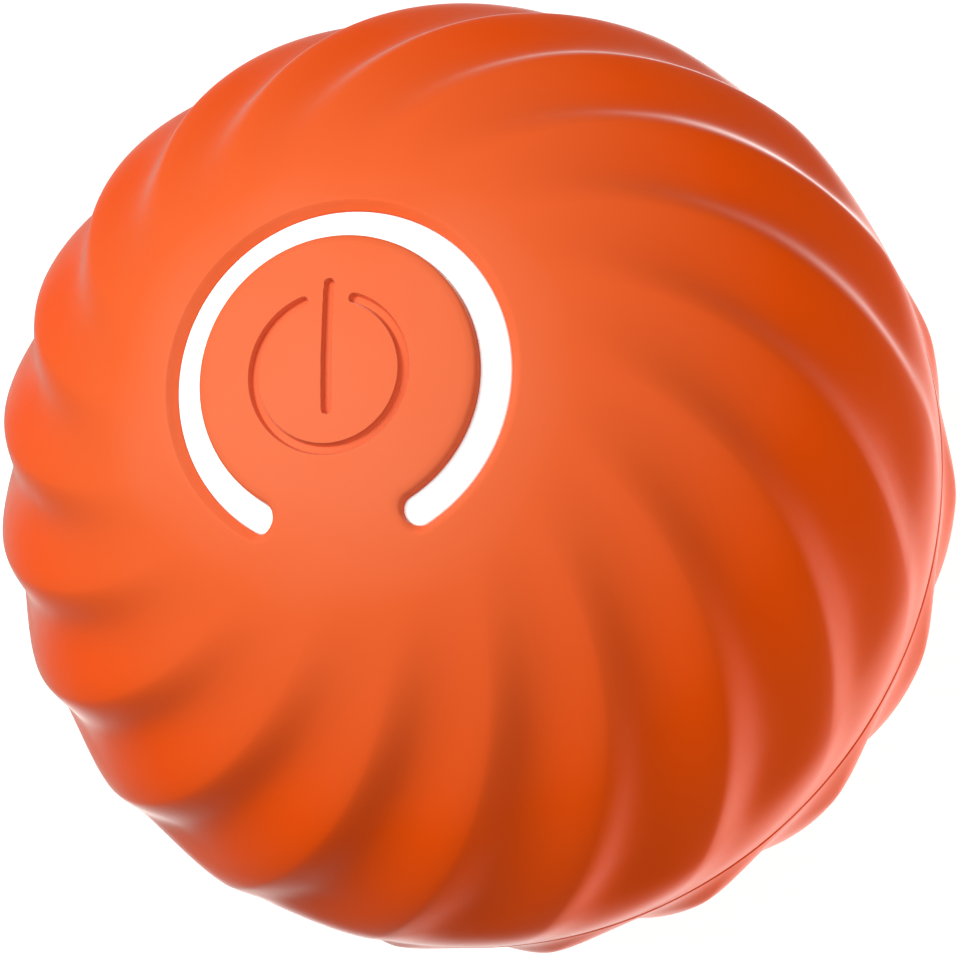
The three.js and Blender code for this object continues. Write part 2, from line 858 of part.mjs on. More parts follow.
function motorOutline(inset) {
  const radius = motorWidth / 2 - inset;
  const flat = motorFlatWidth / 2 - inset;
  const angle = THREE.MathUtils.radToDeg(Math.asin(flat / radius));
  return [
    ...arc(radius, -angle, angle, roundEndSides, 0, motorY),
    ...arc(radius, 180 - angle, 180 + angle, roundEndSides, 0, motorY),
  ];
}

function motorCan() {
  const top = chassisTop + motorCanLength;
  const shaftTop = chassisTop + motorShaftDepth + boreClearance;
  const bossBottom = chassisTop - motorBossHeight;
  const bore = motorShaftRadius + boreClearance;
  let solid = extrude(motorOutline(0), chassisTop, top)
    .add(cylinder(motorBossRadius, bossBottom, chassisTop + cutOverrun, shaftSides, 0, motorY))
    .subtract(cylinder(bore, chassisBottom, shaftTop, shaftSides, 0, motorY));
  for (const side of [-1, 1]) {
    const x = side * motorScrewOffset;
    const screwTop = motorScrewTop() + screwClearance;
    solid = solid.subtract(cylinder(smallHole, chassisBottom, screwTop, screwSides, x, motorY));
  }
  return solid;
}

function motorScrewTop() {
  return chassisBottom + motorHeadDepth - screwClearance + smallScrewLength - smallHeadHeight;
}

function motorEndCap() {
  return extrude(motorOutline(motorCapInset), chassisTop + motorCanLength, motorTop);
}

function motorShaft() {
  return cylinder(motorShaftRadius, stageOneBottom, chassisTop + motorShaftDepth, shaftSides, 0, motorY);
}

// Gears: each tooth is a trapezium from root to tip, with play at the pitch circle

function gearOutline(teeth) {
  const pitchRadius = gearModule * teeth / 2;
  const tip = pitchRadius + addendumShare * gearModule;
  const root = pitchRadius - dedendumShare * gearModule;
  const step = 360 / teeth;
  const corners = [
    [root, -toothRootShare / 2],
    [tip, -toothTopShare / 2],
    [tip, toothTopShare / 2],
    [root, toothRootShare / 2],
  ];
  const points = [];
  for (let tooth = 0; tooth < teeth; tooth += 1) {
    for (const [radius, share] of corners) {
      points.push(new THREE.Vector2(...polar(radius, step * (tooth + share))));
    }
  }
  return points;
}

function gear(teeth, bottom, top, turn, boreRadius) {
  const blank = turned(extrude(gearOutline(teeth), bottom, top), turn);
  return boreRadius ? blank.subtract(through(boreRadius, bottom, top, 0, 0, shaftSides)) : blank;
}

// Turns that set the teeth of each pair in mesh along the line between their middles
function motorPinion() {
  const lineAngle = THREE.MathUtils.radToDeg(Math.atan2(idlerY - motorY, idlerX));
  return gear(pinionTeeth, stageOneBottom, stageOneTop, lineAngle, motorShaftRadius + boreClearance)
    .translate([0, motorY, 0]);
}

function idlerGear() {
  const toMotor = THREE.MathUtils.radToDeg(Math.atan2(motorY - idlerY, -idlerX));
  const toOutput = THREE.MathUtils.radToDeg(Math.atan2(-idlerY, -idlerX));
  const wheel = gear(wheelTeeth, stageOneBottom, stageOneTop, toMotor + 180 / wheelTeeth, 0);
  const pinion = gear(pinionTeeth, stageTwoBottom, stageOneBottom + gearGap / 2, toOutput, 0);
  const bore = cylinder(idlerBore, coverBottom, chassisTop, shaftSides);
  return wheel.add(pinion).subtract(bore).translate([idlerX, idlerY, 0]);
}

function outputGear() {
  const toIdler = THREE.MathUtils.radToDeg(Math.atan2(idlerY, idlerX));
  return gear(wheelTeeth, stageTwoBottom, stageTwoTop, toIdler + 180 / wheelTeeth, outputBore);
}

function idlerAxle() {
  const reach = axleSocketDepth - axleEndGap;
  return cylinder(idlerAxleRadius, coverTop - reach, chassisBottom + reach, shaftSides, idlerX, idlerY);
}

function gearboxCover() {
  let solid = cylinder(coverCircle + coverPostRadius, coverBottom, coverFace, sphereSides);
  for (const [x, y] of coverPostPlaces()) {
    solid = solid.subtract(through(smallHole, coverBottom, coverTop, x, y));
  }
  const axleFloor = coverTop - axleSocketDepth;
  return solid
    .subtract(through(bushSeat, coverBottom, coverTop, 0, 0, shaftSides))
    .subtract(cylinder(idlerBore, axleFloor, coverTop + cutOverrun, shaftSides, idlerX, idlerY));
}

function upperBush() {
  return tube(bushRadius, outputBore, chassisBottom, chassisTop, shaftSides);
}

function lowerBush() {
  const flangeRadius = bushRadius + bushFlangeWidth;
  const flangeBottom = coverBottom - bushFlangeThickness;
  return revolve([
    [outputBore, flangeBottom],
    [flangeRadius, flangeBottom],
    [flangeRadius, coverBottom],
    [bushRadius, coverBottom],
    [bushRadius, coverFace],
    [outputBore, coverFace],
  ], shaftSides);
}

// Eccentric weight on its shaft

function outputShaft() {
  const bottom = weightBottom + boreClearance;
  const screwTop = weightScrewTop() + screwClearance;
  const bore = smallScrewRadius + boreClearance;
  return cylinder(outputShaftRadius, bottom, chassisTop - boreClearance, shaftSides)
    .subtract(cylinder(bore, bottom - cutOverrun, screwTop, screwSides));
}

function weightScrewTop() {
  return weightBottom + smallScrewLength - smallHeadHeight;
}

function eccentricWeight() {
  const half = weightAngle / 2;
  const outline = [new THREE.Vector2(), ...arc(weightRadius, -90 - half, -90 + half, innerSides)];
  const hubTop = weightTop + weightHubProud;
  return extrude(outline, weightBottom, weightTop)
    .add(cylinder(weightHubRadius, weightBottom, hubTop, innerSides))
    .subtract(through(outputBore, weightBottom, hubTop, 0, 0, shaftSides));
}

// A pan head screw that points up from a seat: the head lies under the seat, the shank over it
function screw(radius, length, headRadius, headHeight, seat, x, y) {
  const profile = [
    [0, seat - headHeight],
    [headRadius, seat - headHeight],
    [headRadius, seat],
    [radius, seat],
    [radius, seat + length - headHeight],
    [0, seat + length - headHeight],
  ];
  return revolve(profile, screwSides).translate([x, y, 0]);
}

function smallScrew(seat, x, y) {
  return screw(smallScrewRadius, smallScrewLength, smallHeadRadius, smallHeadHeight, seat, x, y);
}

function caseScrew(x, y) {
  const seat = counterboreLevel() - screwClearance;
  return screw(bigScrewRadius, bigScrewLength, bigHeadRadius, bigHeadHeight, seat, x, y);
}

// The whole object, one named mesh for each piece

const dogBall = new THREE.Group();

function addPiece(name, solid, material) {
  const mesh = new THREE.Mesh(geometryFrom(solid), material);
  mesh.name = name;
  dogBall.add(mesh);
}

addPiece('front_sleeve', frontSleeve(), orangeSilicone);
addPiece('rear_sleeve', rearSleeve(), orangeSilicone);
addPiece('power_button', powerButton(), orangeSilicone);
addPiece('light_ring', lightRing(), lightGuide);
addPiece('front_core_shell', frontCoreShell(), whitePlastic);
addPiece('rear_core_shell', rearCoreShell(), whitePlastic);
addPiece('core_seal', coreSeal(), sealRubber);
addPiece('core_button', coreButton(), whitePlastic);
addPiece('switch_body', switchBody(), blackPlastic);
addPiece('switch_plunger', switchPlunger(), greyPlastic);
addPiece('circuit_board', circuitBoard(), boardGreen);
addPiece('controller_chip', controllerChip(), blackPlastic);
addPiece('motion_sensor', motionSensor(), steel);
addPiece('usb_socket', usbSocket(), steel);
addPiece('usb_contact', usbContact(), blackPlastic);
ledAngles().forEach((angle, index) => {
  addPiece(`led_${index + 1}`, turned(led(), angle), lightGuide);
});
addPiece('chassis', chassis(), greyPlastic);
addPiece('gearbox_cover', gearboxCover(), greyPlastic);
addPiece('motor_can', motorCan(), steel);
addPiece('motor_end_cap', motorEndCap(), whitePlastic);
addPiece('motor_shaft', motorShaft(), steel);
addPiece('motor_pinion', motorPinion(), brass);
addPiece('idler_axle', idlerAxle(), steel);
addPiece('idler_gear', idlerGear(), gearPlastic);
addPiece('output_gear', outputGear(), gearPlastic);
addPiece('output_shaft', outputShaft(), steel);
addPiece('upper_bush', upperBush(), brass);
addPiece('lower_bush', lowerBush(), brass);
addPiece('eccentric_weight', eccentricWeight(), zinc);
addPiece('weight_screw', smallScrew(weightBottom, 0, 0), steel);
addPiece('battery_cell', batteryCell(), cellWrap);
addPiece('battery_tab_plus', batteryTab(1), steel);
addPiece('battery_tab_minus', batteryTab(-1), steel);
addPiece('battery_pad', batteryPad(), padFoam);
addPiece('battery_wire_plus', batteryWire(1), wireRed);
addPiece('battery_wire_minus', batteryWire(-1), wireBlack);
addPiece('motor_wire_plus', motorWire(1), wireRed);
addPiece('motor_wire_minus', motorWire(-1), wireBlack);
columnPlaces().forEach(([x, y], index) => {
  addPiece(`case_screw_${index + 1}`, caseScrew(x, y), steel);
});
postPlaces().forEach(([x, y], index) => {
  addPiece(`board_screw_${index + 1}`, smallScrew(boardBottom, x, y), steel);
});
coverPostPlaces().forEach(([x, y], index) => {
  addPiece(`cover_screw_${index + 1}`, smallScrew(coverBottom, x, y), steel);
});
[-1, 1].forEach((side, index) => {
  const seat = chassisBottom + motorHeadDepth - screwClearance;
  addPiece(`motor_screw_${index + 1}`, smallScrew(seat, side * motorScrewOffset, motorY), steel);
});

export default dogBall;
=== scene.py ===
# A motion ball for dogs: a ribbed silicone cover in two halves over a hard core, with a soft
# power button inside a C shaped light window whose white ring carries a painted glow.

import math

import bmesh
import bpy
import numpy as np
from mathutils import Matrix, Vector


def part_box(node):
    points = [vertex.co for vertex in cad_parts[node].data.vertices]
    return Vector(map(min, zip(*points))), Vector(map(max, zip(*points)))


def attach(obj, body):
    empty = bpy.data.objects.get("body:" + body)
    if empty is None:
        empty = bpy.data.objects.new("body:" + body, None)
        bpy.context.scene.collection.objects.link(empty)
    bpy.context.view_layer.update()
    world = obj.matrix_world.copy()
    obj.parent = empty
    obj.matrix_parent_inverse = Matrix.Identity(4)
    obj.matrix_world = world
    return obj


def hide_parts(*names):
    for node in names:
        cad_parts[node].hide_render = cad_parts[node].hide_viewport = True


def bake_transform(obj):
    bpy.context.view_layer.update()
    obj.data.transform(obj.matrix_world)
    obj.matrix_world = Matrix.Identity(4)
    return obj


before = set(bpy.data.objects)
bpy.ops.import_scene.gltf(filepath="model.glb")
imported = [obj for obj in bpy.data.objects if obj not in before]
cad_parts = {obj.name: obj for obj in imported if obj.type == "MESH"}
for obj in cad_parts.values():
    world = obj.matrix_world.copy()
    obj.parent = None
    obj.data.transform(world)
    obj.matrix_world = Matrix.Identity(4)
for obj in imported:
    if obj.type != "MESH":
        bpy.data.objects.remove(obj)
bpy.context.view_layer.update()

# Sizes are millimetres and degrees up to the point where a mesh is made
MM = 0.001

# Ball and swirl ribs
ball_radius = 30.0
rib_count = 18
rib_depth = 0.9
rib_lean_share = 0.8
rib_phase_angle = -4.7
rib_phase_polar_angle = 60.0
rib_start_angle = 24.0
rib_full_angle = 50.0
rib_fade_angle = 69.0
rib_end_angle = 88.0
rib_valley_share = 0.43
rib_crest_power = 1.6
rear_rib_share = 0.4
seam_dip = 0.7
front_seam_fade_angle = 14.0
rear_seam_fade_angle = 9.0
seam_half_gap = 0.1
seam_edge = 0.22
seam_edge_shares = (1.6, 1.0, 0.7, 0.45, 0.25, 0.1, 0.02)
columns_per_rib = 28
column_crowding_share = 0.6
row_step_angle = 0.9
dome_row_steps = 12
rear_pole_angle = 0.9

# Sleeves
sleeve_inner_radius = 27.3
inner_dome_angle = 28.0
inner_pole_angle = 4.0
inner_seam_angle = 88.0
front_inner_rows = 16
rear_inner_rows = 20
inner_window_shares = (0.35, 0.7, 1.0)
key_slot_width = 3.6
key_slot_height = 3.3
key_slot_radius = 28.5

# Heights over which the silicone's colour turns paler towards the dome's top, a painted highlight, and how
# far noise moves its tone at random
dome_highlight_start = 17.0
dome_highlight_end = 29.3
tone_mottle = 0.08

# Round window, tongue and light ring
slot_inner = 7.88
slot_outer = 9.55
neck_angle = 50.0
window_edge = 0.2
outer_lip_width = 0.58
outer_lip_depth = 0.64
inner_lip_width = 0.5
inner_lip_depth = 0.08
band_width = 0.8
band_shares = (1.0, 0.93, 0.85, 0.75, 0.64, 0.52, 0.4, 0.3, 0.24, 0.18, 0.12, 0.07, 0.03, 0.01, 0.0)
cap_steps = 16
split_steps = 56
tongue_bottom = 27.6
tongue_row_steps = 8
underside_shares = (1.0, 0.6)
ring_gap = 0.03
ring_recess = 0.72
ring_edge = 0.12
ring_bottom = 17.5
flange_width = 1.2
flange_top = 23.3
flange_thickness = 1.0
guide_steps = 200
guide_cap_steps = 18
guide_edge_shares = (0.0, 0.03, 0.12, 0.28, 0.5, 0.75, 1.0, 1.8)

# Power symbol pressed into the button
symbol_middle_x = -0.17
symbol_radius = 4.25
symbol_half_width = 0.25
symbol_depth = 0.42
symbol_edge = 0.05
symbol_gap_angle = 20.0
bar_top = 4.95
bar_bottom = -2.1
symbol_field_radius = 5.7
symbol_last_radius = 0.1
ring_zone = 0.55
ring_zone_step = 0.045
bar_end_zone = 0.45
bar_middle_radius = 0.6
line_end_step = 0.05
wide_step = 0.12

# Hard core
core_radius = 27.0
core_wall = 2.0
core_half_gap = 0.15
core_edge = 0.25
core_edge_shares = (0.6, 0.3, 0.1, 0.0)
core_edge_inset = 0.01
shell_outer_top_angle = 88.0
shell_outer_rows = 46
shell_inner_top_angle = 86.0
shell_inner_rows = 28
ball_profile_points = 49
rim_width = 3.8
rim_height = 3.0
key_width = 3.0
key_height = 3.0
key_proud = 1.2
key_turns = (0, 90, 180, 270)
core_key_edge = 0.3
core_button_radius = 4.5
core_button_top = 27.3
core_button_edge = 0.5
core_button_flange = 1.6
core_button_flange_bottom = 23.0
core_button_flange_top = 23.8
core_button_stem_radius = 2.2
core_button_chamfer = 0.2
core_button_edge_shares = (0.85, 0.6, 0.35, 0.15, 0.04)
dimple_radius = 2.6
dimple_depth = 0.3
dimple_edge_width = 0.4
dimple_edge_drop = 0.25
slide_gap = 0.3
column_circle = 19.5
column_angle = 55.0
column_radius = 2.9
column_top = -1.3
counterbore_radius = 2.2
counterbore_level = -5.75
usb_pocket_width = 13.0
usb_pocket_height = 6.8
usb_pocket_depth = 4.2
usb_pocket_wall = 1.2
usb_pocket_corner = 1.5
usb_middle = 14.0
usb_slot_width = 10.4
usb_slot_height = 4.6

# Solids: edges that turn by more than the sharp angle stay crisp. The rest are counts of points.
cover_sharp_angle = 38.0
core_sharp_angle = 30.0
corner_points = 7
outline_steps = 120
outline_cap_points = 12
shell_columns = 160
hole_columns = 96
screw_columns = 48
button_columns = 120

# View: the camera looks at the middle of the ball
camera_distance = 180.0
camera_azimuth = -38.4
camera_polar_angle = 19.4
camera_up_azimuth = 86.7
camera_lens = 106.2
sensor_width = 36.0
image_width = 960
camera_clip_start = 10.0
ball_offset_right_px = -2.0
ball_offset_down_px = 1.5

# Set: what the ball is lit by and what the camera sees behind it
world_light_strength = 0.06
world_seen_strength = 1.0
floor_reach = 4000.0
floor_tones = (0.42, 0.44)
floor_glow = 0.84


class Surface:
    """The points and faces of one piece."""

    def __init__(self):
        self.points = []
        self.faces = []
        self.count = 0

    def row(self, points):
        points = np.atleast_2d(np.asarray(points, float))
        self.points.append(points)
        first = self.count
        self.count += len(points)
        return np.arange(first, self.count)

    def strip(self, first, second, closed=True):
        """Four sided faces between two rows with as many points each."""
        if closed:
            first = np.append(first, first[0])
            second = np.append(second, second[0])
        quads = np.stack([first[:-1], first[1:], second[1:], second[:-1]], axis=1)
        self.faces.extend(quads.tolist())

    def rows(self, rows, closed=True):
        for first, second in zip(rows[:-1], rows[1:]):
            self.strip(first, second, closed)

    def fan(self, centre, ring, closed=True):
        if closed:
            ring = np.append(ring, ring[0])
        self.faces.extend([int(centre), int(a), int(b)] for a, b in zip(ring[:-1], ring[1:]))


def make_piece(name, surface, look, sharp_angle=cover_sharp_angle):
    mesh = bpy.data.meshes.new(name)
    points = np.concatenate(surface.points) * MM
    mesh.from_pydata(points.tolist(), [], surface.faces)
    shell = bmesh.new()
    shell.from_mesh(mesh)
    bmesh.ops.recalc_face_normals(shell, faces=shell.faces)
    shell.to_mesh(mesh)
    shell.free()
    mesh.materials.append(look)
    finish_shading(mesh, sharp_angle)
    piece = bpy.data.objects.new(name, mesh)
    bpy.context.scene.collection.objects.link(piece)
    return piece


def finish_shading(mesh, sharp_angle):
    mesh.polygons.foreach_set("use_smooth", [True] * len(mesh.polygons))
    mesh.set_sharp_from_angle(angle=math.radians(sharp_angle))
    mesh.update()


def polar(radius, degrees):
    angle = np.radians(degrees)
    return np.stack(np.broadcast_arrays(radius * np.cos(angle), radius * np.sin(angle)), axis=-1)


def smooth_rise(value, start, end):
    share = np.clip((value - start) / (end - start), 0, 1)
    return share * share * (3 - 2 * share)


def edge_round(distance, radius):
    """How far a rounded edge lies under the surface, at a distance from the wall."""
    inside = np.clip(radius - distance, 0, radius)
    return radius - np.sqrt(radius ** 2 - inside ** 2)


def on_sphere(plan, radius):
    """Points over a plan on the upper side of a sphere."""
    height = np.sqrt(radius ** 2 - (plan ** 2).sum(axis=1))
    return np.column_stack([plan, height])


def at_height(plan, height):
    return np.column_stack([plan, np.broadcast_to(height, len(plan))])


# Swirl ribs


def rib_places(first_column=0):
    """Places round the ball in ribs, where a whole number is a crest, closer near the crests."""
    share = (first_column + np.arange(rib_count * columns_per_rib)) / columns_per_rib
    return share - column_crowding_share * np.sin(2 * np.pi * share) / (2 * np.pi)


def rib_turn(polar_angle):
    return rib_phase_angle - rib_lean_share * (polar_angle - rib_phase_polar_angle)


def rib_drop(places):
    """Share of the full depth: a quick fall after each crest and a slower climb to the next."""
    share = places - np.floor(places)
    fall = share / (2 * rib_valley_share)
    climb = 1 - (1 - share) / (2 * (1 - rib_valley_share))
    return np.sin(np.pi * np.where(share < rib_valley_share, fall, climb)) ** rib_crest_power


def cover_radius(polar_angle, places):
    """Distance of the cover's outer side from the middle of the ball."""
    from_pole = min(polar_angle, 180 - polar_angle)
    front = polar_angle < 90
    seam_fade_angle = front_seam_fade_angle if front else rear_seam_fade_angle
    seam = smooth_rise(from_pole, 90 - seam_fade_angle, 90)
    start = smooth_rise(from_pole, rib_start_angle, rib_full_angle)
    end = smooth_rise(from_pole, rib_fade_angle, rib_end_angle) if front else seam
    drop = rib_drop(places if front else -(places + rear_rib_share))
    return ball_radius - seam_dip * seam - rib_depth * start * (1 - end) * drop


def cover_row(polar_angle, places):
    """One row of the cover's outer side, with the seam's rounded edge."""
    radius = cover_radius(polar_angle, places)
    height = radius * math.cos(math.radians(polar_angle))
    from_seam = np.abs(height) - seam_half_gap
    radius = radius - edge_round(np.maximum(from_seam, 0), seam_edge)
    turn = rib_turn(polar_angle) + 360 * places / rib_count
    plan = polar(radius * math.sin(math.radians(polar_angle)), turn)
    return at_height(plan, radius * math.cos(math.radians(polar_angle)))


def cover_angles(start):
    """Polar angles of the rows from the dome to the seam, closer at the seam's edge."""
    seam_radius = ball_radius - seam_dip
    heights = seam_half_gap + seam_edge * np.array(seam_edge_shares)
    edge_angles = 90 - np.degrees(np.arcsin(heights / seam_radius))
    steps = round((edge_angles[0] - start) / row_step_angle)
    return np.concatenate([np.linspace(start, edge_angles[0], steps)[:-1], edge_angles])


def seam_row(places, radius, side):
    """A row on the flat face of the seam, above the middle for the front half."""
    turn = rib_turn(90) + 360 * places / rib_count
    return at_height(polar(radius, turn), side * seam_half_gap)


def inner_row(polar_angle, places):
    turn = rib_turn(polar_angle) + 360 * places / rib_count
    angle = math.radians(polar_angle)
    plan = polar(sleeve_inner_radius * math.sin(angle), turn)
    return at_height(plan, sleeve_inner_radius * math.cos(angle))


# Window slot: half circles at its two ends, beside the neck

slot_middle = (slot_inner + slot_outer) / 2
slot_half = (slot_outer - slot_inner) / 2
end_turn = math.degrees(slot_half / slot_middle)
slot_start = -90 + neck_angle / 2 + end_turn
slot_end = 270 - neck_angle / 2 - end_turn
dome_steps = rib_count * columns_per_rib
arc_steps = dome_steps - split_steps - 2 * cap_steps


def slot_side(distance, outer_side):
    """Plan of the slot's outer or inner side from one end to the other, moved into the material."""
    cap_radius = slot_half + distance
    turns = np.linspace(0, 90, cap_steps + 1)
    if outer_side:
        first = slot_start - 90 + turns
        last = slot_end + turns
        radius = slot_outer + distance
    else:
        first = slot_start - 90 - turns
        last = slot_end + 180 - turns
        radius = slot_inner - distance
    arc = polar(radius, np.linspace(slot_start, slot_end, arc_steps + 1))
    return np.concatenate([
        polar(slot_middle, slot_start) + polar(cap_radius, first[:-1]),
        arc,
        polar(slot_middle, slot_end) + polar(cap_radius, last[1:]),
    ])


def split_line():
    """Plan of the line across the neck where the tongue meets the sleeve, without its ends."""
    corner = math.degrees(math.atan2(band_width + slot_half, slot_middle))
    radius = math.hypot(slot_middle, slot_half + band_width)
    angles = np.linspace(slot_end + corner, slot_start + 360 - corner, split_steps + 1)
    return polar(radius, angles[1:-1])


def along_side(own, shared):
    """A value for each point of a slot side, moving to a shared one where sleeve and tongue meet."""
    ends = shared + (own - shared) * smooth_rise(np.arange(cap_steps), 0, cap_steps)
    return np.concatenate([ends, np.full(arc_steps + 1, own), ends[::-1]])


def window_band(surface, outer_side, first_row):
    """Rows of the lip and rounded edge along one side of the slot. The last one is on the wall."""
    width = along_side(outer_lip_width if outer_side else inner_lip_width, inner_lip_width)
    depth = along_side(outer_lip_depth if outer_side else inner_lip_depth, inner_lip_depth)
    previous = first_row
    columns = [first_row]
    for share in band_shares[1:]:
        distance = share * band_width
        points = on_sphere(slot_side(distance, outer_side), ball_radius)
        points[:, 2] -= depth * (1 - smooth_rise(distance, 0, width)) + edge_round(distance, window_edge)
        row = surface.row(points)
        surface.strip(previous, row, closed=False)
        columns.append(row)
        previous = row
    return columns


def close_split(surface, columns, top_split, wall_row, bottom_split):
    """The flat end of the neck, from its rounded top edge down to the underside."""
    at_start = np.array([row[0] for row in columns])
    at_end = np.array([row[-1] for row in columns])[::-1]
    surface.fan(wall_row[-1], at_end, closed=False)
    surface.fan(wall_row[0], at_start, closed=False)
    top = np.concatenate([[columns[0][-1]], top_split, [columns[0][0]]])
    bottom = np.concatenate([[wall_row[-1]], bottom_split, [wall_row[0]]])
    surface.strip(top, bottom, closed=False)


def front_cover(look):
    surface = Surface()
    dome_edge = ball_radius * math.sin(math.radians(rib_start_angle))
    window_start = slot_start - math.degrees(math.atan2(band_width + slot_half, slot_middle))
    first_column = round((window_start - rib_turn(rib_start_angle)) / 360 * dome_steps)
    places = rib_places(first_column)
    side = slot_side(band_width, True)
    window = np.concatenate([side, split_line()])
    dome = polar(dome_edge, rib_turn(rib_start_angle) + 360 * places / rib_count)
    window_row = surface.row(on_sphere(window, ball_radius))
    rows = [window_row]
    for share in np.linspace(0, 1, dome_row_steps + 1)[1:]:
        rows.append(surface.row(on_sphere(window + (dome - window) * share, ball_radius)))
    for angle in cover_angles(rib_start_angle)[1:]:
        rows.append(surface.row(cover_row(angle, places)))
    rows.append(surface.row(seam_row(places, ball_radius - seam_dip - seam_edge, 1)))
    rows.append(surface.row(seam_row(places, sleeve_inner_radius, 1)))
    for angle in np.linspace(inner_seam_angle, inner_dome_angle, front_inner_rows):
        rows.append(surface.row(inner_row(angle, places)))
    inside = np.concatenate([slot_side(0, True), split_line()])
    inner_edge = inner_row(inner_dome_angle, places)[:, :2]
    for share in inner_window_shares:
        plan = inner_edge + (inside - inner_edge) * share
        rows.append(surface.row(on_sphere(plan, sleeve_inner_radius)))
    surface.rows(rows)
    side_count = len(side)
    columns = window_band(surface, True, window_row[:side_count])
    wall_row = rows[-1][:side_count]
    surface.strip(columns[-1], wall_row, closed=False)
    close_split(surface, columns, window_row[side_count:], wall_row, rows[-1][side_count:])
    piece = make_piece("front_cover", surface, look)
    return cut_key_slots(piece)


def rear_cover(look):
    surface = Surface()
    places = rib_places() - rear_rib_share
    rows = []
    for angle in cover_angles(rear_pole_angle)[::-1]:
        rows.append(surface.row(cover_row(180 - angle, places)))
    outer_pole = surface.row([[0, 0, -ball_radius]])[0]
    inner_pole = surface.row([[0, 0, -sleeve_inner_radius]])[0]
    inner_angles = np.linspace(inner_pole_angle, inner_seam_angle, rear_inner_rows)
    inner = [surface.row(inner_row(180 - angle, places)) for angle in inner_angles]
    rim = [
        surface.row(seam_row(places, sleeve_inner_radius, -1)),
        surface.row(seam_row(places, ball_radius - seam_dip - seam_edge, -1)),
    ]
    surface.rows(inner + rim + rows)
    surface.fan(outer_pole, rows[-1])
    surface.fan(inner_pole, inner[0])
    piece = make_piece("rear_cover", surface, look)
    return cut_key_slots(piece)


# Power symbol


def stroke_distance(plan):
    """Distance in plan to the nearest line of the power symbol."""
    x, y = plan[:, 0] - symbol_middle_x, plan[:, 1]
    to_bar = np.hypot(x, y - np.clip(y, bar_bottom, bar_top))
    from_top = np.abs(np.degrees(np.arctan2(x, y)))
    to_ring = np.abs(np.hypot(x, y) - symbol_radius)
    end_x = symbol_radius * math.sin(math.radians(symbol_gap_angle))
    end_y = symbol_radius * math.cos(math.radians(symbol_gap_angle))
    to_end = np.hypot(np.abs(x) - end_x, y - end_y)
    return np.minimum(to_bar, np.where(from_top < symbol_gap_angle, to_end, to_ring))


def button_top(plan):
    points = on_sphere(plan, ball_radius)
    distance = stroke_distance(plan)
    groove = 1 - smooth_rise(distance, symbol_half_width - symbol_edge, symbol_half_width + symbol_edge)
    points[:, 2] -= symbol_depth * groove
    return points


def symbol_rings():
    """Radii of the rings of points under the symbol, closer along its lines and their ends."""
    radii = [symbol_field_radius]
    while radii[-1] > symbol_last_radius:
        radius = radii[-1]
        near_bar_end = radius > symbol_radius or abs(radius + bar_bottom) < bar_end_zone
        if abs(radius - symbol_radius) < ring_zone:
            step = ring_zone_step
        elif near_bar_end or radius < bar_middle_radius:
            step = line_end_step
        else:
            step = wide_step
        radii.append(radius - step)
    return radii


def tongue(look):
    surface = Surface()
    side = slot_side(band_width, False)
    outline = np.concatenate([side, split_line()])
    outline_row = surface.row(on_sphere(outline, ball_radius))
    first_turn = math.degrees(math.atan2(outline[0, 1], outline[0, 0]))
    turns = first_turn + np.arange(len(outline)) * 360 / len(outline)
    rows = [outline_row]
    symbol_middle = np.array([[symbol_middle_x, 0.0]])
    field = symbol_middle + polar(symbol_field_radius, turns)
    for share in np.linspace(0, 1, tongue_row_steps + 1)[1:]:
        rows.append(surface.row(button_top(outline + (field - outline) * share)))
    for radius in symbol_rings()[1:]:
        rows.append(surface.row(button_top(symbol_middle + polar(radius, turns))))
    surface.rows(rows)
    middle = surface.row(button_top(symbol_middle))[0]
    surface.fan(middle, rows[-1])
    side_count = len(side)
    columns = window_band(surface, False, outline_row[:side_count])
    inside = np.concatenate([slot_side(0, False), split_line()])
    underside = [surface.row(at_height(inside * share, tongue_bottom)) for share in underside_shares]
    surface.rows(underside)
    under_middle = surface.row([[0, 0, tongue_bottom]])[0]
    surface.fan(under_middle, underside[-1])
    wall_row = underside[0][:side_count]
    surface.strip(columns[-1], wall_row, closed=False)
    close_split(surface, columns, outline_row[side_count:], wall_row, underside[0][side_count:])
    return make_piece("button_tongue", surface, look)


# Solids for the hidden parts and their cutters


def lathe(name, profile, look, columns=shell_columns, place=(0, 0)):
    """A round solid from [radius, height] points that start and end on the axis or close."""
    surface = Surface()
    turns = np.arange(columns) * 360 / columns
    rows = []
    caps = []
    for radius, height in profile:
        if radius > 0:
            plan = polar(radius, turns) + np.array(place)
            rows.append(surface.row(at_height(plan, height)))
        else:
            caps.append(surface.row([[place[0], place[1], height]])[0])
    if caps:
        surface.fan(caps[0], rows[0])
        surface.fan(caps[1], rows[-1])
    else:
        rows.append(rows[0])
    surface.rows(rows)
    return make_piece(name, surface, look)


def rounded(points, radius):
    """The points of an outline with each corner that has a radius made round."""
    result = []
    count = len(points)
    for index, point in enumerate(points):
        before = np.subtract(points[index - 1], point)
        after = np.subtract(points[(index + 1) % count], point)
        reach = min(radius, 0.45 * np.linalg.norm(before), 0.45 * np.linalg.norm(after))
        first = point + before / np.linalg.norm(before) * reach
        last = point + after / np.linalg.norm(after) * reach
        for share in np.linspace(0, 1, corner_points):
            low = first + (point - first) * share
            high = np.asarray(point) + (last - point) * share
            result.append(low + (high - low) * share)
    return np.array(result)


def prism(name, outline, bottom, top, look):
    surface = Surface()
    low = surface.row(at_height(np.asarray(outline), bottom))
    high = surface.row(at_height(np.asarray(outline), top))
    surface.strip(low, high)
    surface.faces.append(low.tolist())
    surface.faces.append(high.tolist())
    return make_piece(name, surface, look)


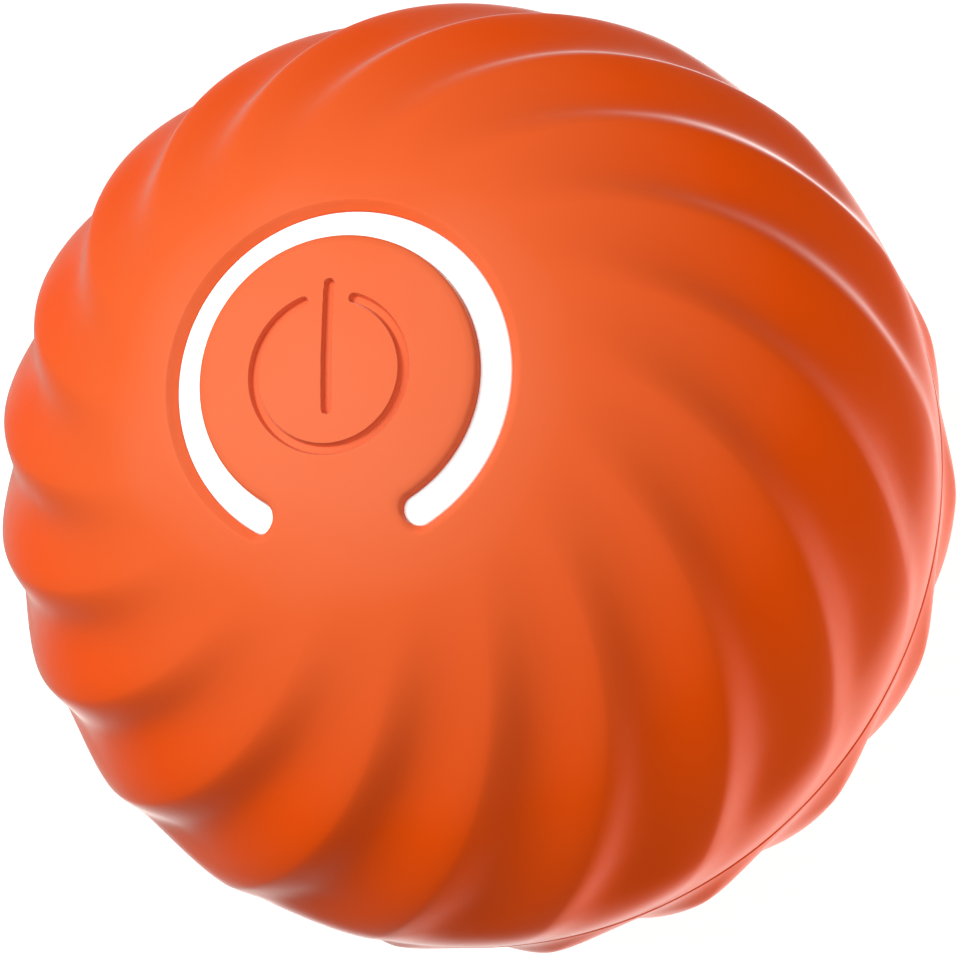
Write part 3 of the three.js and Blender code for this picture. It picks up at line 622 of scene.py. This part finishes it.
def block(name, low, high, look, corner=0.0, flat_axis="Z"):
    """A box whose four edges along one axis are rounded."""
    a, b, c = {"X": (1, 2, 0), "Y": (2, 0, 1), "Z": (0, 1, 2)}[flat_axis]
    outline = [(low[a], low[b]), (high[a], low[b]), (high[a], high[b]), (low[a], high[b])]
    if corner:
        outline = rounded(outline, corner)
    piece = prism(name, outline, low[c], high[c], look)
    points = np.empty(len(piece.data.vertices) * 3)
    piece.data.vertices.foreach_get("co", points)
    points = points.reshape(-1, 3)
    moved = np.empty_like(points)
    moved[:, a], moved[:, b], moved[:, c] = points[:, 0], points[:, 1], points[:, 2]
    piece.data.vertices.foreach_set("co", moved.ravel())
    piece.data.update()
    return piece


def turn_piece(piece, degrees):
    piece.data.transform(Matrix.Rotation(math.radians(degrees), 4, "Z"))
    return piece


def combine(piece, others, operation, sharp_angle=core_sharp_angle):
    """Joins the other solids to a piece or cuts them from it, and removes them."""
    for other in others:
        modifier = piece.modifiers.new("combine", "BOOLEAN")
        modifier.operation = operation
        modifier.solver = "EXACT"
        modifier.object = other
    graph = bpy.context.evaluated_depsgraph_get()
    mesh = bpy.data.meshes.new_from_object(piece.evaluated_get(graph))
    piece.modifiers.clear()
    look = piece.data.materials[0]
    piece.data = mesh
    mesh.materials.clear()
    mesh.materials.append(look)
    mesh.polygons.foreach_set("material_index", [0] * len(mesh.polygons))
    finish_shading(mesh, sharp_angle)
    for other in others:
        bpy.data.objects.remove(other)
    return piece


def cut_key_slots(piece):
    half = key_slot_width / 2
    low = (core_radius - core_wall, -half, -key_slot_height)
    high = (key_slot_radius, half, key_slot_height)
    look = piece.data.materials[0]
    cutters = [turn_piece(block("cutter", low, high, look), turn) for turn in key_turns]
    return combine(piece, cutters, "DIFFERENCE", cover_sharp_angle)


def band_outline(inner, outer, open_angle):
    """Outline of a C shaped band with round ends, open about -Y."""
    middle = (inner + outer) / 2
    half = (outer - inner) / 2
    turn = math.degrees(half / middle)
    start = -90 + open_angle / 2 + turn
    end = 270 - open_angle / 2 - turn
    caps = np.linspace(0, 180, outline_cap_points + 2)[1:-1]
    return np.concatenate([
        polar(outer, np.linspace(start, end, outline_steps)),
        polar(middle, end) + polar(half, end + caps),
        polar(inner, np.linspace(end, start, outline_steps)),
        polar(middle, start) + polar(half, start + 180 + caps),
    ])


def light_guide(look):
    """The light guide's wall in the window, whose glow is painted in its material, with a rounded top that
    follows the ball.
    """
    inner = slot_inner + ring_gap
    outer = slot_outer - ring_gap
    half = (outer - inner) / 2
    middle_radius = (inner + outer) / 2
    open_angle = neck_angle + 2 * math.degrees(ring_gap / slot_middle)
    turn = math.degrees(half / middle_radius)
    start = -90 + open_angle / 2 + turn
    end = 270 - open_angle / 2 - turn
    surface = Surface()
    steps = guide_steps
    caps = np.linspace(0, 180, guide_cap_steps + 1)

    def loop(distance):
        radius = half - distance
        return np.concatenate([
            polar(outer - distance, np.linspace(start, end, steps)[:-1]),
            polar(middle_radius, end) + polar(radius, end + caps)[:-1],
            polar(inner + distance, np.linspace(end, start, steps)[:-1]),
            polar(middle_radius, start) + polar(radius, start + 180 + caps)[:-1],
        ])

    rows = [surface.row(at_height(loop(0), ring_bottom))]
    for share in guide_edge_shares:
        distance = share * ring_edge
        points = on_sphere(loop(distance), ball_radius - ring_recess)
        points[:, 2] -= edge_round(distance, ring_edge)
        rows.append(surface.row(points))
    surface.rows(rows)
    top = rows[-1]
    cap_count = len(caps) - 1
    outer_side = top[: steps]
    end_cap = top[steps - 1: steps + cap_count]
    inner_start = steps - 1 + cap_count
    inner_side = top[inner_start: inner_start + steps]
    start_cap = np.append(top[inner_start + steps - 1:], top[0])
    surface.strip(outer_side, inner_side[::-1], closed=False)
    for cap, centre_angle in ((end_cap, end), (start_cap, start)):
        plan = polar(middle_radius, centre_angle)[None, :]
        centre = surface.row(on_sphere(plan, ball_radius - ring_recess))[0]
        surface.fan(centre, cap, closed=False)
        surface.faces.append([int(centre), int(cap[0]), int(cap[-1])])
    surface.faces.append(rows[0].tolist())
    wall = make_piece("window_light", surface, look)
    flange_outline = band_outline(inner - flange_width, outer + flange_width, open_angle)
    flange = prism("flange", flange_outline, flange_top - flange_thickness, flange_top, look)
    return combine(wall, [flange], "UNION")


# Hard core


def shell_profile(side):
    """Half section of a core shell with its thicker rim, side 1 for the front and -1 for the rear."""
    inner_radius = core_radius - core_wall
    rim_radius = core_radius - rim_width
    face = core_half_gap
    start = math.degrees(math.asin((face + core_edge) / core_radius))
    outer = [(0.0, core_radius)]
    outer.extend(polar(core_radius, np.linspace(shell_outer_top_angle, start, shell_outer_rows)))
    for share in core_edge_shares:
        drop = edge_round(share * core_edge, core_edge)
        outer.append((core_radius - drop - core_edge_inset, face + share * core_edge))
    inner = [(rim_radius, face), (rim_radius, rim_height)]
    first = math.degrees(math.asin(rim_height / inner_radius))
    inner.extend(polar(inner_radius, np.linspace(first, shell_inner_top_angle, shell_inner_rows)))
    inner.append((0.0, inner_radius))
    return [(radius, side * height) for radius, height in outer + inner]


def core_keys(look, side):
    half = key_width / 2
    low = (core_radius - core_wall / 2, -half, core_half_gap if side > 0 else -key_height)
    high = (core_radius + key_proud, half, key_height if side > 0 else -core_half_gap)
    return [turn_piece(block("key", low, high, look, core_key_edge, "X"), turn) for turn in key_turns]


def front_core(look):
    shell = lathe("front_core", shell_profile(1), look)
    pocket_floor = -math.sqrt(core_radius ** 2 - usb_middle ** 2) + usb_pocket_depth
    half_width = usb_pocket_width / 2
    half_height = usb_pocket_height / 2
    wall_half_width = half_width + usb_pocket_wall
    wall_half_height = half_height + usb_pocket_wall
    walled = block(
        "pocket_wall",
        (-wall_half_width, -core_radius + core_wall, usb_middle - wall_half_height),
        (wall_half_width, pocket_floor + usb_pocket_wall, usb_middle + wall_half_height),
        look, usb_pocket_wall, "Y",
    )
    inside = lathe("inside", ball_profile(core_radius - core_wall / 2), look, hole_columns)
    combine(walled, [inside], "INTERSECT")
    combine(shell, [walled] + core_keys(look, 1), "UNION")
    slot = prism(
        "slot", band_outline(slot_inner, slot_outer, neck_angle - 2 * ring_gap),
        core_radius / 2, ball_radius, look,
    )
    hole_radius = core_button_radius + slide_gap
    hole = lathe(
        "hole",
        [(0, core_radius / 2), (hole_radius, core_radius / 2), (hole_radius, ball_radius), (0, ball_radius)],
        look, hole_columns,
    )
    pocket = block(
        "pocket",
        (-half_width, -ball_radius, usb_middle - half_height),
        (half_width, pocket_floor, usb_middle + half_height),
        look, usb_pocket_corner, "Y",
    )
    mouth = block(
        "mouth",
        (-usb_slot_width / 2, -ball_radius, usb_middle - usb_slot_height / 2),
        (usb_slot_width / 2, pocket_floor + 2 * usb_pocket_wall, usb_middle + usb_slot_height / 2),
        look, usb_slot_height / 2, "Y",
    )
    return combine(shell, [slot, hole, pocket, mouth], "DIFFERENCE")


def ball_profile(radius):
    between = polar(radius, np.linspace(-90, 90, ball_profile_points)[1:-1])
    return [(0.0, -radius), *between, (0.0, radius)]


def rear_core(look):
    shell = lathe("rear_core", shell_profile(-1), look)
    columns = []
    bores = []
    for angle in (column_angle, 180 - column_angle, 180 + column_angle, -column_angle):
        place = polar(column_circle, angle)
        reach = -math.sqrt(core_radius ** 2 - column_circle ** 2) + core_wall
        columns.append(lathe(
            "column",
            [(0, reach - core_wall), (column_radius, reach - core_wall), (column_radius, column_top),
             (0, column_top)],
            look, screw_columns, place,
        ))
        bores.append(lathe(
            "bore",
            [(0, -ball_radius), (counterbore_radius, -ball_radius), (counterbore_radius, counterbore_level),
             (0, counterbore_level)],
            look, screw_columns, place,
        ))
    combine(shell, columns + core_keys(look, -1), "UNION")
    return combine(shell, bores, "DIFFERENCE")


def core_button(look):
    flange_radius = core_button_radius + core_button_flange
    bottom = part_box("core_button")[0].z / MM
    top = core_button_top
    edge = core_button_edge
    chamfer = core_button_chamfer
    stem = core_button_stem_radius
    flange_bottom = core_button_flange_bottom
    flange_top_level = core_button_flange_top
    profile = [(0, bottom), (stem - chamfer, bottom), (stem, bottom + chamfer), (stem, flange_bottom)]
    profile += [(flange_radius - chamfer, flange_bottom), (flange_radius, flange_bottom + chamfer)]
    profile += [(flange_radius, flange_top_level - chamfer), (flange_radius - chamfer, flange_top_level)]
    profile += [(core_button_radius, flange_top_level), (core_button_radius, top - edge)]
    for share in core_button_edge_shares:
        reach = share * edge
        profile.append((core_button_radius - edge_round(reach, edge), top - edge + (edge - reach)))
    profile += [(core_button_radius - edge, top), (dimple_radius, top)]
    profile += [(dimple_radius - dimple_edge_width, top - dimple_edge_drop), (0, top - dimple_depth)]
    return lathe("hard_button", profile, look, button_columns)


# Materials


class Look:
    """A node material with helpers for the patterns that the finishes share."""

    def __init__(self, name, roughness=0.5, metallic=0.0):
        self.material = bpy.data.materials.new(name)
        self.material.use_nodes = True
        self.tree = self.material.node_tree
        self.shader = self.tree.nodes["Principled BSDF"]
        self.shader.inputs["Roughness"].default_value = roughness
        self.shader.inputs["Metallic"].default_value = metallic
        self.place = self.tree.nodes.new("ShaderNodeTexCoord").outputs["Object"]

    def node(self, kind, **settings):
        node = self.tree.nodes.new(kind)
        for key, value in settings.items():
            setattr(node, key, value)
        return node

    def link(self, output, socket):
        self.tree.links.new(output, socket)

    def stretched(self, x, y, z):
        mapping = self.node("ShaderNodeMapping")
        mapping.inputs["Scale"].default_value = (x, y, z)
        self.link(self.place, mapping.inputs["Vector"])
        return mapping.outputs["Vector"]

    def noise(self, scale, detail=3.0, roughness=0.55, place=None):
        node = self.node("ShaderNodeTexNoise")
        node.inputs["Scale"].default_value = scale
        node.inputs["Detail"].default_value = detail
        node.inputs["Roughness"].default_value = roughness
        self.link(place or self.place, node.inputs["Vector"])
        return node.outputs["Fac"]

    def cells(self, scale):
        node = self.node("ShaderNodeTexVoronoi")
        node.inputs["Scale"].default_value = scale
        self.link(self.place, node.inputs["Vector"])
        return node.outputs["Distance"]

    def ramp(self, value, stops):
        node = self.node("ShaderNodeValToRGB")
        points = node.color_ramp.elements
        while len(points) < len(stops):
            points.new(0.5)
        for point, (position, colour) in zip(points, stops):
            point.position = position
            point.color = (*colour, 1)
        self.link(value, node.inputs["Fac"])
        return node.outputs["Color"]

    def spread(self, value, low, high, start=0.3, end=0.7):
        node = self.node("ShaderNodeMapRange")
        for key, number in (("From Min", start), ("From Max", end), ("To Min", low), ("To Max", high)):
            node.inputs[key].default_value = number
        self.link(value, node.inputs["Value"])
        return node.outputs["Result"]

    def colour(self, output):
        self.link(output, self.shader.inputs["Base Color"])

    def roughness(self, output):
        self.link(output, self.shader.inputs["Roughness"])

    def bump(self, height, distance_mm, strength=1.0, normal=None):
        node = self.node("ShaderNodeBump")
        node.inputs["Strength"].default_value = strength
        node.inputs["Distance"].default_value = distance_mm * MM
        self.link(height, node.inputs["Height"])
        if normal:
            self.link(normal, node.inputs["Normal"])
        self.link(node.outputs["Normal"], self.shader.inputs["Normal"])
        return node.outputs["Normal"]

    def set(self, **sockets):
        for key, value in sockets.items():
            self.shader.inputs[key.replace("_", " ")].default_value = value


def tinted(colour, factor):
    return tuple(min(1.0, channel * factor) for channel in colour)


def silicone():
    """Orange silicone with a soft sheen. Its colour is painted paler on the smooth dome and button than on
    the ribs, a painted highlight.
    """
    look = Look("silicone", 0.42)
    heights = look.node("ShaderNodeSeparateXYZ")
    look.link(look.place, heights.inputs[0])
    # The tone below is random noise plus a painted highlight: the colour grows paler with height on the dome
    # and button
    tone = look.node("ShaderNodeMath", operation="MULTIPLY_ADD")
    look.link(look.spread(look.noise(60, 2.0), -1.0, 1.0), tone.inputs[0])
    tone.inputs[1].default_value = tone_mottle
    highlight_rise = look.spread(heights.outputs["Z"], 0.0, 1.0, dome_highlight_start * MM, dome_highlight_end * MM)
    look.link(highlight_rise, tone.inputs[2])
    rib_and_highlight_colours = [(0.0, (0.765, 0.073, 0.002)), (0.8, (0.72, 0.108, 0.026)), (1.0, (0.71, 0.142, 0.057))]
    look.colour(look.ramp(tone.outputs[0], rib_and_highlight_colours))
    look.roughness(look.spread(look.noise(900, 2.0), 0.38, 0.45))
    grain = look.bump(look.noise(9000, 2.0), 0.006, 0.5)
    look.bump(look.noise(400, 3.0), 0.01, 0.35, grain)
    look.set(Sheen_Weight=0.95, Sheen_Roughness=0.2, Sheen_Tint=(1.0, 0.92, 0.88, 1))
    look.set(Specular_IOR_Level=0.01)
    return look.material


def guide_with_painted_glow():
    look = Look("light_guide", 0.3)
    look.colour(look.ramp(look.noise(300), [(0.3, (0.9, 0.95, 0.95)), (0.7, (0.97, 1.0, 1.0))]))
    look.bump(look.noise(2500), 0.004, 0.4)
    # The emission is a painted glow that keeps the guide white; no lamp lights it
    look.set(Emission_Color=(0.93, 1.0, 1.0, 1), Emission_Strength=0.22)
    return look.material


def moulded(name, colour, roughness=0.45, grain=0.006):
    look = Look(name, roughness)
    look.colour(look.ramp(look.noise(150, 2.0), [(0.3, tinted(colour, 0.94)), (0.7, tinted(colour, 1.03))]))
    look.roughness(look.spread(look.noise(1200), roughness - 0.06, roughness + 0.08))
    look.bump(look.noise(6000, 3.0), grain, 0.6)
    return look.material


def metal(name, colour, roughness, lines=(1, 1, 1), grain=0.004):
    look = Look(name, roughness, 1.0)
    streaks = look.noise(1500, 3.0, 0.6, look.stretched(*lines))
    look.colour(look.ramp(streaks, [(0.25, tinted(colour, 0.85)), (0.75, tinted(colour, 1.08))]))
    look.roughness(look.spread(streaks, roughness - 0.08, roughness + 0.12))
    look.bump(streaks, grain, 0.6)
    return look.material


def cast_metal():
    look = Look("cast_weight", 0.42, 1.0)
    pits = look.cells(900)
    wide = look.noise(250, 4.0)
    look.colour(look.ramp(wide, [(0.3, (0.36, 0.37, 0.39)), (0.7, (0.56, 0.57, 0.59))]))
    look.roughness(look.spread(wide, 0.34, 0.55))
    look.bump(look.spread(pits, 0.0, 1.0, 0.0, 0.4), 0.02, 0.5)
    return look.material


def solder_mask():
    look = Look("board", 0.35)
    bricks = look.node("ShaderNodeTexBrick")
    bricks.inputs["Scale"].default_value = 420
    bricks.inputs["Mortar Size"].default_value = 0.035
    bricks.inputs["Color1"].default_value = (0.012, 0.10, 0.035, 1)
    bricks.inputs["Color2"].default_value = (0.016, 0.13, 0.045, 1)
    bricks.inputs["Mortar"].default_value = (0.03, 0.22, 0.08, 1)
    look.link(look.place, bricks.inputs["Vector"])
    look.colour(bricks.outputs["Color"])
    look.roughness(look.spread(look.noise(700), 0.28, 0.42))
    look.bump(bricks.outputs["Fac"], 0.02, 0.5)
    look.set(Coat_Weight=0.3)
    return look.material


def wrap():
    look = Look("cell_wrap", 0.35)
    folds = look.noise(500, 3.0, 0.5, look.stretched(0.15, 1, 1))
    look.colour(look.ramp(folds, [(0.3, (0.02, 0.11, 0.36)), (0.7, (0.035, 0.17, 0.5))]))
    look.roughness(look.spread(folds, 0.25, 0.45))
    look.bump(folds, 0.03, 0.5)
    return look.material


def foam():
    look = Look("foam", 0.95)
    holes = look.cells(2600)
    look.colour(look.ramp(holes, [(0.1, (0.02, 0.021, 0.023)), (0.6, (0.07, 0.075, 0.08))]))
    look.bump(holes, 0.15, 0.8)
    return look.material


def rubber(name, colour, roughness=0.6):
    look = Look(name, roughness)
    look.colour(look.ramp(look.noise(500), [(0.3, tinted(colour, 0.85)), (0.7, tinted(colour, 1.1))]))
    look.roughness(look.spread(look.noise(2000), roughness - 0.06, roughness + 0.08))
    look.bump(look.noise(4000), 0.008, 0.5)
    return look.material


def dress_cad(looks):
    """Gives each CAD node that still shows its finish, by the start of its name."""
    for name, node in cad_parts.items():
        start = next(key for key in looks if name.startswith(key))
        node.data.materials.clear()
        node.data.materials.append(looks[start])


# Set: floor, lamps, world and camera


def camera_axes():
    polar_angle = math.radians(camera_polar_angle)
    azimuth = math.radians(camera_azimuth)
    toward = Vector((
        math.sin(polar_angle) * math.cos(azimuth),
        math.sin(polar_angle) * math.sin(azimuth),
        math.cos(polar_angle),
    ))
    up_azimuth = math.radians(camera_up_azimuth)
    level = Vector((math.cos(up_azimuth), math.sin(up_azimuth), 0))
    up = (level - Vector((0, 0, 1)) * (level.dot(toward) / toward.z)).normalized()
    return up.cross(toward).normalized(), up, toward


def place_camera(axes):
    right, up, toward = axes
    data = bpy.data.cameras.new("camera")
    data.lens = camera_lens
    data.sensor_width = sensor_width
    data.shift_x = -ball_offset_right_px / image_width
    data.shift_y = ball_offset_down_px / image_width
    data.clip_start = camera_clip_start * MM
    camera = bpy.data.objects.new("camera", data)
    rotation = Matrix((right, up, toward)).transposed()
    camera.matrix_world = Matrix.Translation(toward * camera_distance * MM) @ rotation.to_4x4()
    bpy.context.scene.collection.objects.link(camera)
    bpy.context.scene.camera = camera


def place_lamp(name, axes, direction, distance, size, power):
    """A square lamp that faces the ball. Its direction is given along the camera's own axes."""
    right, up, toward = axes
    way = (right * direction[0] + up * direction[1] + toward * direction[2]).normalized()
    data = bpy.data.lights.new(name, "AREA")
    data.shape = "SQUARE"
    data.size = size * MM
    data.energy = power
    lamp = bpy.data.objects.new(name, data)
    lamp.visible_camera = False
    lamp.location = way * distance * MM
    lamp.rotation_euler = way.to_track_quat("Z", "Y").to_euler()
    bpy.context.scene.collection.objects.link(lamp)


def white_for_camera(tree, plain, bright, target):
    """Shows the second shader to camera, glossy and transmission rays, and the first to the rest."""
    path = tree.nodes.new("ShaderNodeLightPath")
    first = tree.nodes.new("ShaderNodeMath")
    first.operation = "MAXIMUM"
    second = tree.nodes.new("ShaderNodeMath")
    second.operation = "MAXIMUM"
    mix = tree.nodes.new("ShaderNodeMixShader")
    tree.links.new(path.outputs["Is Camera Ray"], first.inputs[0])
    tree.links.new(path.outputs["Is Glossy Ray"], first.inputs[1])
    tree.links.new(first.outputs[0], second.inputs[0])
    tree.links.new(path.outputs["Is Transmission Ray"], second.inputs[1])
    tree.links.new(second.outputs[0], mix.inputs["Fac"])
    tree.links.new(plain, mix.inputs[1])
    tree.links.new(bright, mix.inputs[2])
    tree.links.new(mix.outputs[0], target)


def make_world():
    world = bpy.data.worlds.new("studio")
    world.use_nodes = True
    bpy.context.scene.world = world
    tree = world.node_tree
    plain = tree.nodes["Background"]
    plain.inputs["Color"].default_value = (1, 1, 1, 1)
    plain.inputs["Strength"].default_value = world_light_strength
    bright = tree.nodes.new("ShaderNodeBackground")
    bright.inputs["Color"].default_value = (1, 1, 1, 1)
    bright.inputs["Strength"].default_value = world_seen_strength
    output = tree.nodes["World Output"]
    white_for_camera(tree, plain.outputs[0], bright.outputs[0], output.inputs["Surface"])


def make_floor():
    mesh = bpy.data.meshes.new("floor")
    reach = floor_reach * MM
    level = -ball_radius * MM
    plan = [(-reach, -reach), (reach, -reach), (reach, reach), (-reach, reach)]
    mesh.from_pydata([(x, y, level) for x, y in plan], [], [(0, 1, 2, 3)])
    look = Look("floor", 0.9)
    dark, pale = [(tone, tone, tone) for tone in floor_tones]
    look.colour(look.ramp(look.noise(8), [(0.3, dark), (0.7, pale)]))
    glow = look.node("ShaderNodeEmission")
    glow.inputs["Strength"].default_value = floor_glow
    lit = look.node("ShaderNodeAddShader")
    look.link(look.shader.outputs[0], lit.inputs[0])
    look.link(glow.outputs[0], lit.inputs[1])
    output = look.tree.nodes["Material Output"]
    white_for_camera(look.tree, look.shader.outputs[0], lit.outputs[0], output.inputs["Surface"])
    mesh.materials.append(look.material)
    floor = bpy.data.objects.new("floor", mesh)
    bpy.context.scene.collection.objects.link(floor)
    # The rim lamp stands below the floor's level, so the floor lets its light pass
    floor.visible_shadow = False


def make_set():
    axes = camera_axes()
    place_camera(axes)
    make_world()
    make_floor()
    place_lamp("key", axes, (-0.6, 0.35, 0.7), distance=420, size=220, power=2.0)
    place_lamp("rim", axes, (0.75, -0.27, -0.72), distance=320, size=280, power=2.6)
    place_lamp("front", axes, (0.35, -0.12, 0.9), distance=450, size=300, power=0.9)


# The whole ball


def make_ball():
    orange = silicone()
    guide = guide_with_painted_glow()
    white = moulded("shell_plastic", (0.84, 0.83, 0.8))
    button_white = moulded("button_plastic", (0.78, 0.78, 0.76), 0.4)
    dress_cad({
        "front_sleeve": orange,
        "rear_sleeve": orange,
        "power_button": orange,
        "light_ring": guide,
        "front_core": white,
        "rear_core": white,
        "core_seal": rubber("seal_rubber", (0.03, 0.03, 0.03)),
        "core_button": button_white,
        "switch_body": moulded("switch_black", (0.02, 0.02, 0.022)),
        "switch_plunger": moulded("plunger_grey", (0.16, 0.17, 0.18)),
        "circuit_board": solder_mask(),
        "controller_chip": moulded("chip_black", (0.012, 0.012, 0.013), 0.55, 0.01),
        "motion_sensor": metal("sensor_can", (0.62, 0.63, 0.64), 0.25, (1, 1, 6)),
        "usb_socket": metal("socket_shell", (0.6, 0.61, 0.62), 0.28, (1, 8, 1)),
        "usb_contact": moulded("socket_tongue", (0.015, 0.015, 0.016)),
        "led": moulded("lamp_body", (0.85, 0.84, 0.7), 0.25),
        "chassis": moulded("frame_plastic", (0.13, 0.14, 0.155), 0.5),
        "gearbox_cover": moulded("cover_plastic", (0.15, 0.16, 0.175), 0.5),
        "motor_can": metal("motor_steel", (0.56, 0.57, 0.59), 0.3, (1, 1, 0.1)),
        "motor_end_cap": moulded("motor_cap", (0.8, 0.79, 0.74)),
        "motor_shaft": metal("shaft_steel", (0.62, 0.63, 0.65), 0.2, (1, 1, 0.1)),
        "motor_pinion": metal("pinion_brass", (0.65, 0.44, 0.14), 0.25, (1, 1, 0.2)),
        "motor_wire_plus": rubber("wire_red", (0.5, 0.01, 0.008), 0.45),
        "motor_wire_minus": rubber("wire_black", (0.012, 0.012, 0.012), 0.45),
        "motor_screw": metal("screw_zinc", (0.52, 0.53, 0.56), 0.3, (1, 1, 4)),
        "idler_axle": metal("axle_steel", (0.62, 0.63, 0.65), 0.2, (1, 1, 0.1)),
        "idler_gear": moulded("gear_plastic", (0.8, 0.76, 0.62), 0.4),
        "output_gear": moulded("gear_plastic_large", (0.8, 0.76, 0.62), 0.4),
        "output_shaft": metal("output_steel", (0.62, 0.63, 0.65), 0.2, (1, 1, 0.1)),
        "upper_bush": metal("bush_bronze", (0.55, 0.34, 0.13), 0.35),
        "lower_bush": metal("bush_bronze_flanged", (0.55, 0.34, 0.13), 0.35),
        "eccentric_weight": cast_metal(),
        "weight_screw": metal("weight_screw_zinc", (0.52, 0.53, 0.56), 0.3, (1, 1, 4)),
        "battery_cell": wrap(),
        "battery_tab": metal("nickel_strip", (0.6, 0.58, 0.53), 0.3, (1, 8, 1)),
        "battery_pad": foam(),
        "battery_wire_plus": rubber("battery_red", (0.5, 0.01, 0.008), 0.45),
        "battery_wire_minus": rubber("battery_black", (0.012, 0.012, 0.012), 0.45),
        "case_screw": metal("case_screw_zinc", (0.52, 0.53, 0.56), 0.3, (1, 1, 4)),
        "board_screw": metal("board_screw_zinc", (0.52, 0.53, 0.56), 0.3, (1, 1, 4)),
        "cover_screw": metal("cover_screw_zinc", (0.52, 0.53, 0.56), 0.3, (1, 1, 4)),
    })
    cover = front_cover(orange)
    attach(cover, "front_sleeve")
    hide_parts("front_sleeve")
    rear = rear_cover(orange)
    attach(rear, "rear_sleeve")
    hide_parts("rear_sleeve")
    button = tongue(orange)
    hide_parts("power_button")
    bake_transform(button)
    ring = light_guide(guide)
    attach(ring, "core")
    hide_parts("light_ring")
    front = front_core(white)
    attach(front, "core")
    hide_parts("front_core_shell")
    back = rear_core(white)
    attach(back, "core")
    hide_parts("rear_core_shell")
    hard_button = core_button(button_white)
    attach(hard_button, "core_button")
    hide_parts("core_button")


bpy.context.scene.view_settings.view_transform = "Standard"
make_set()
make_ball()
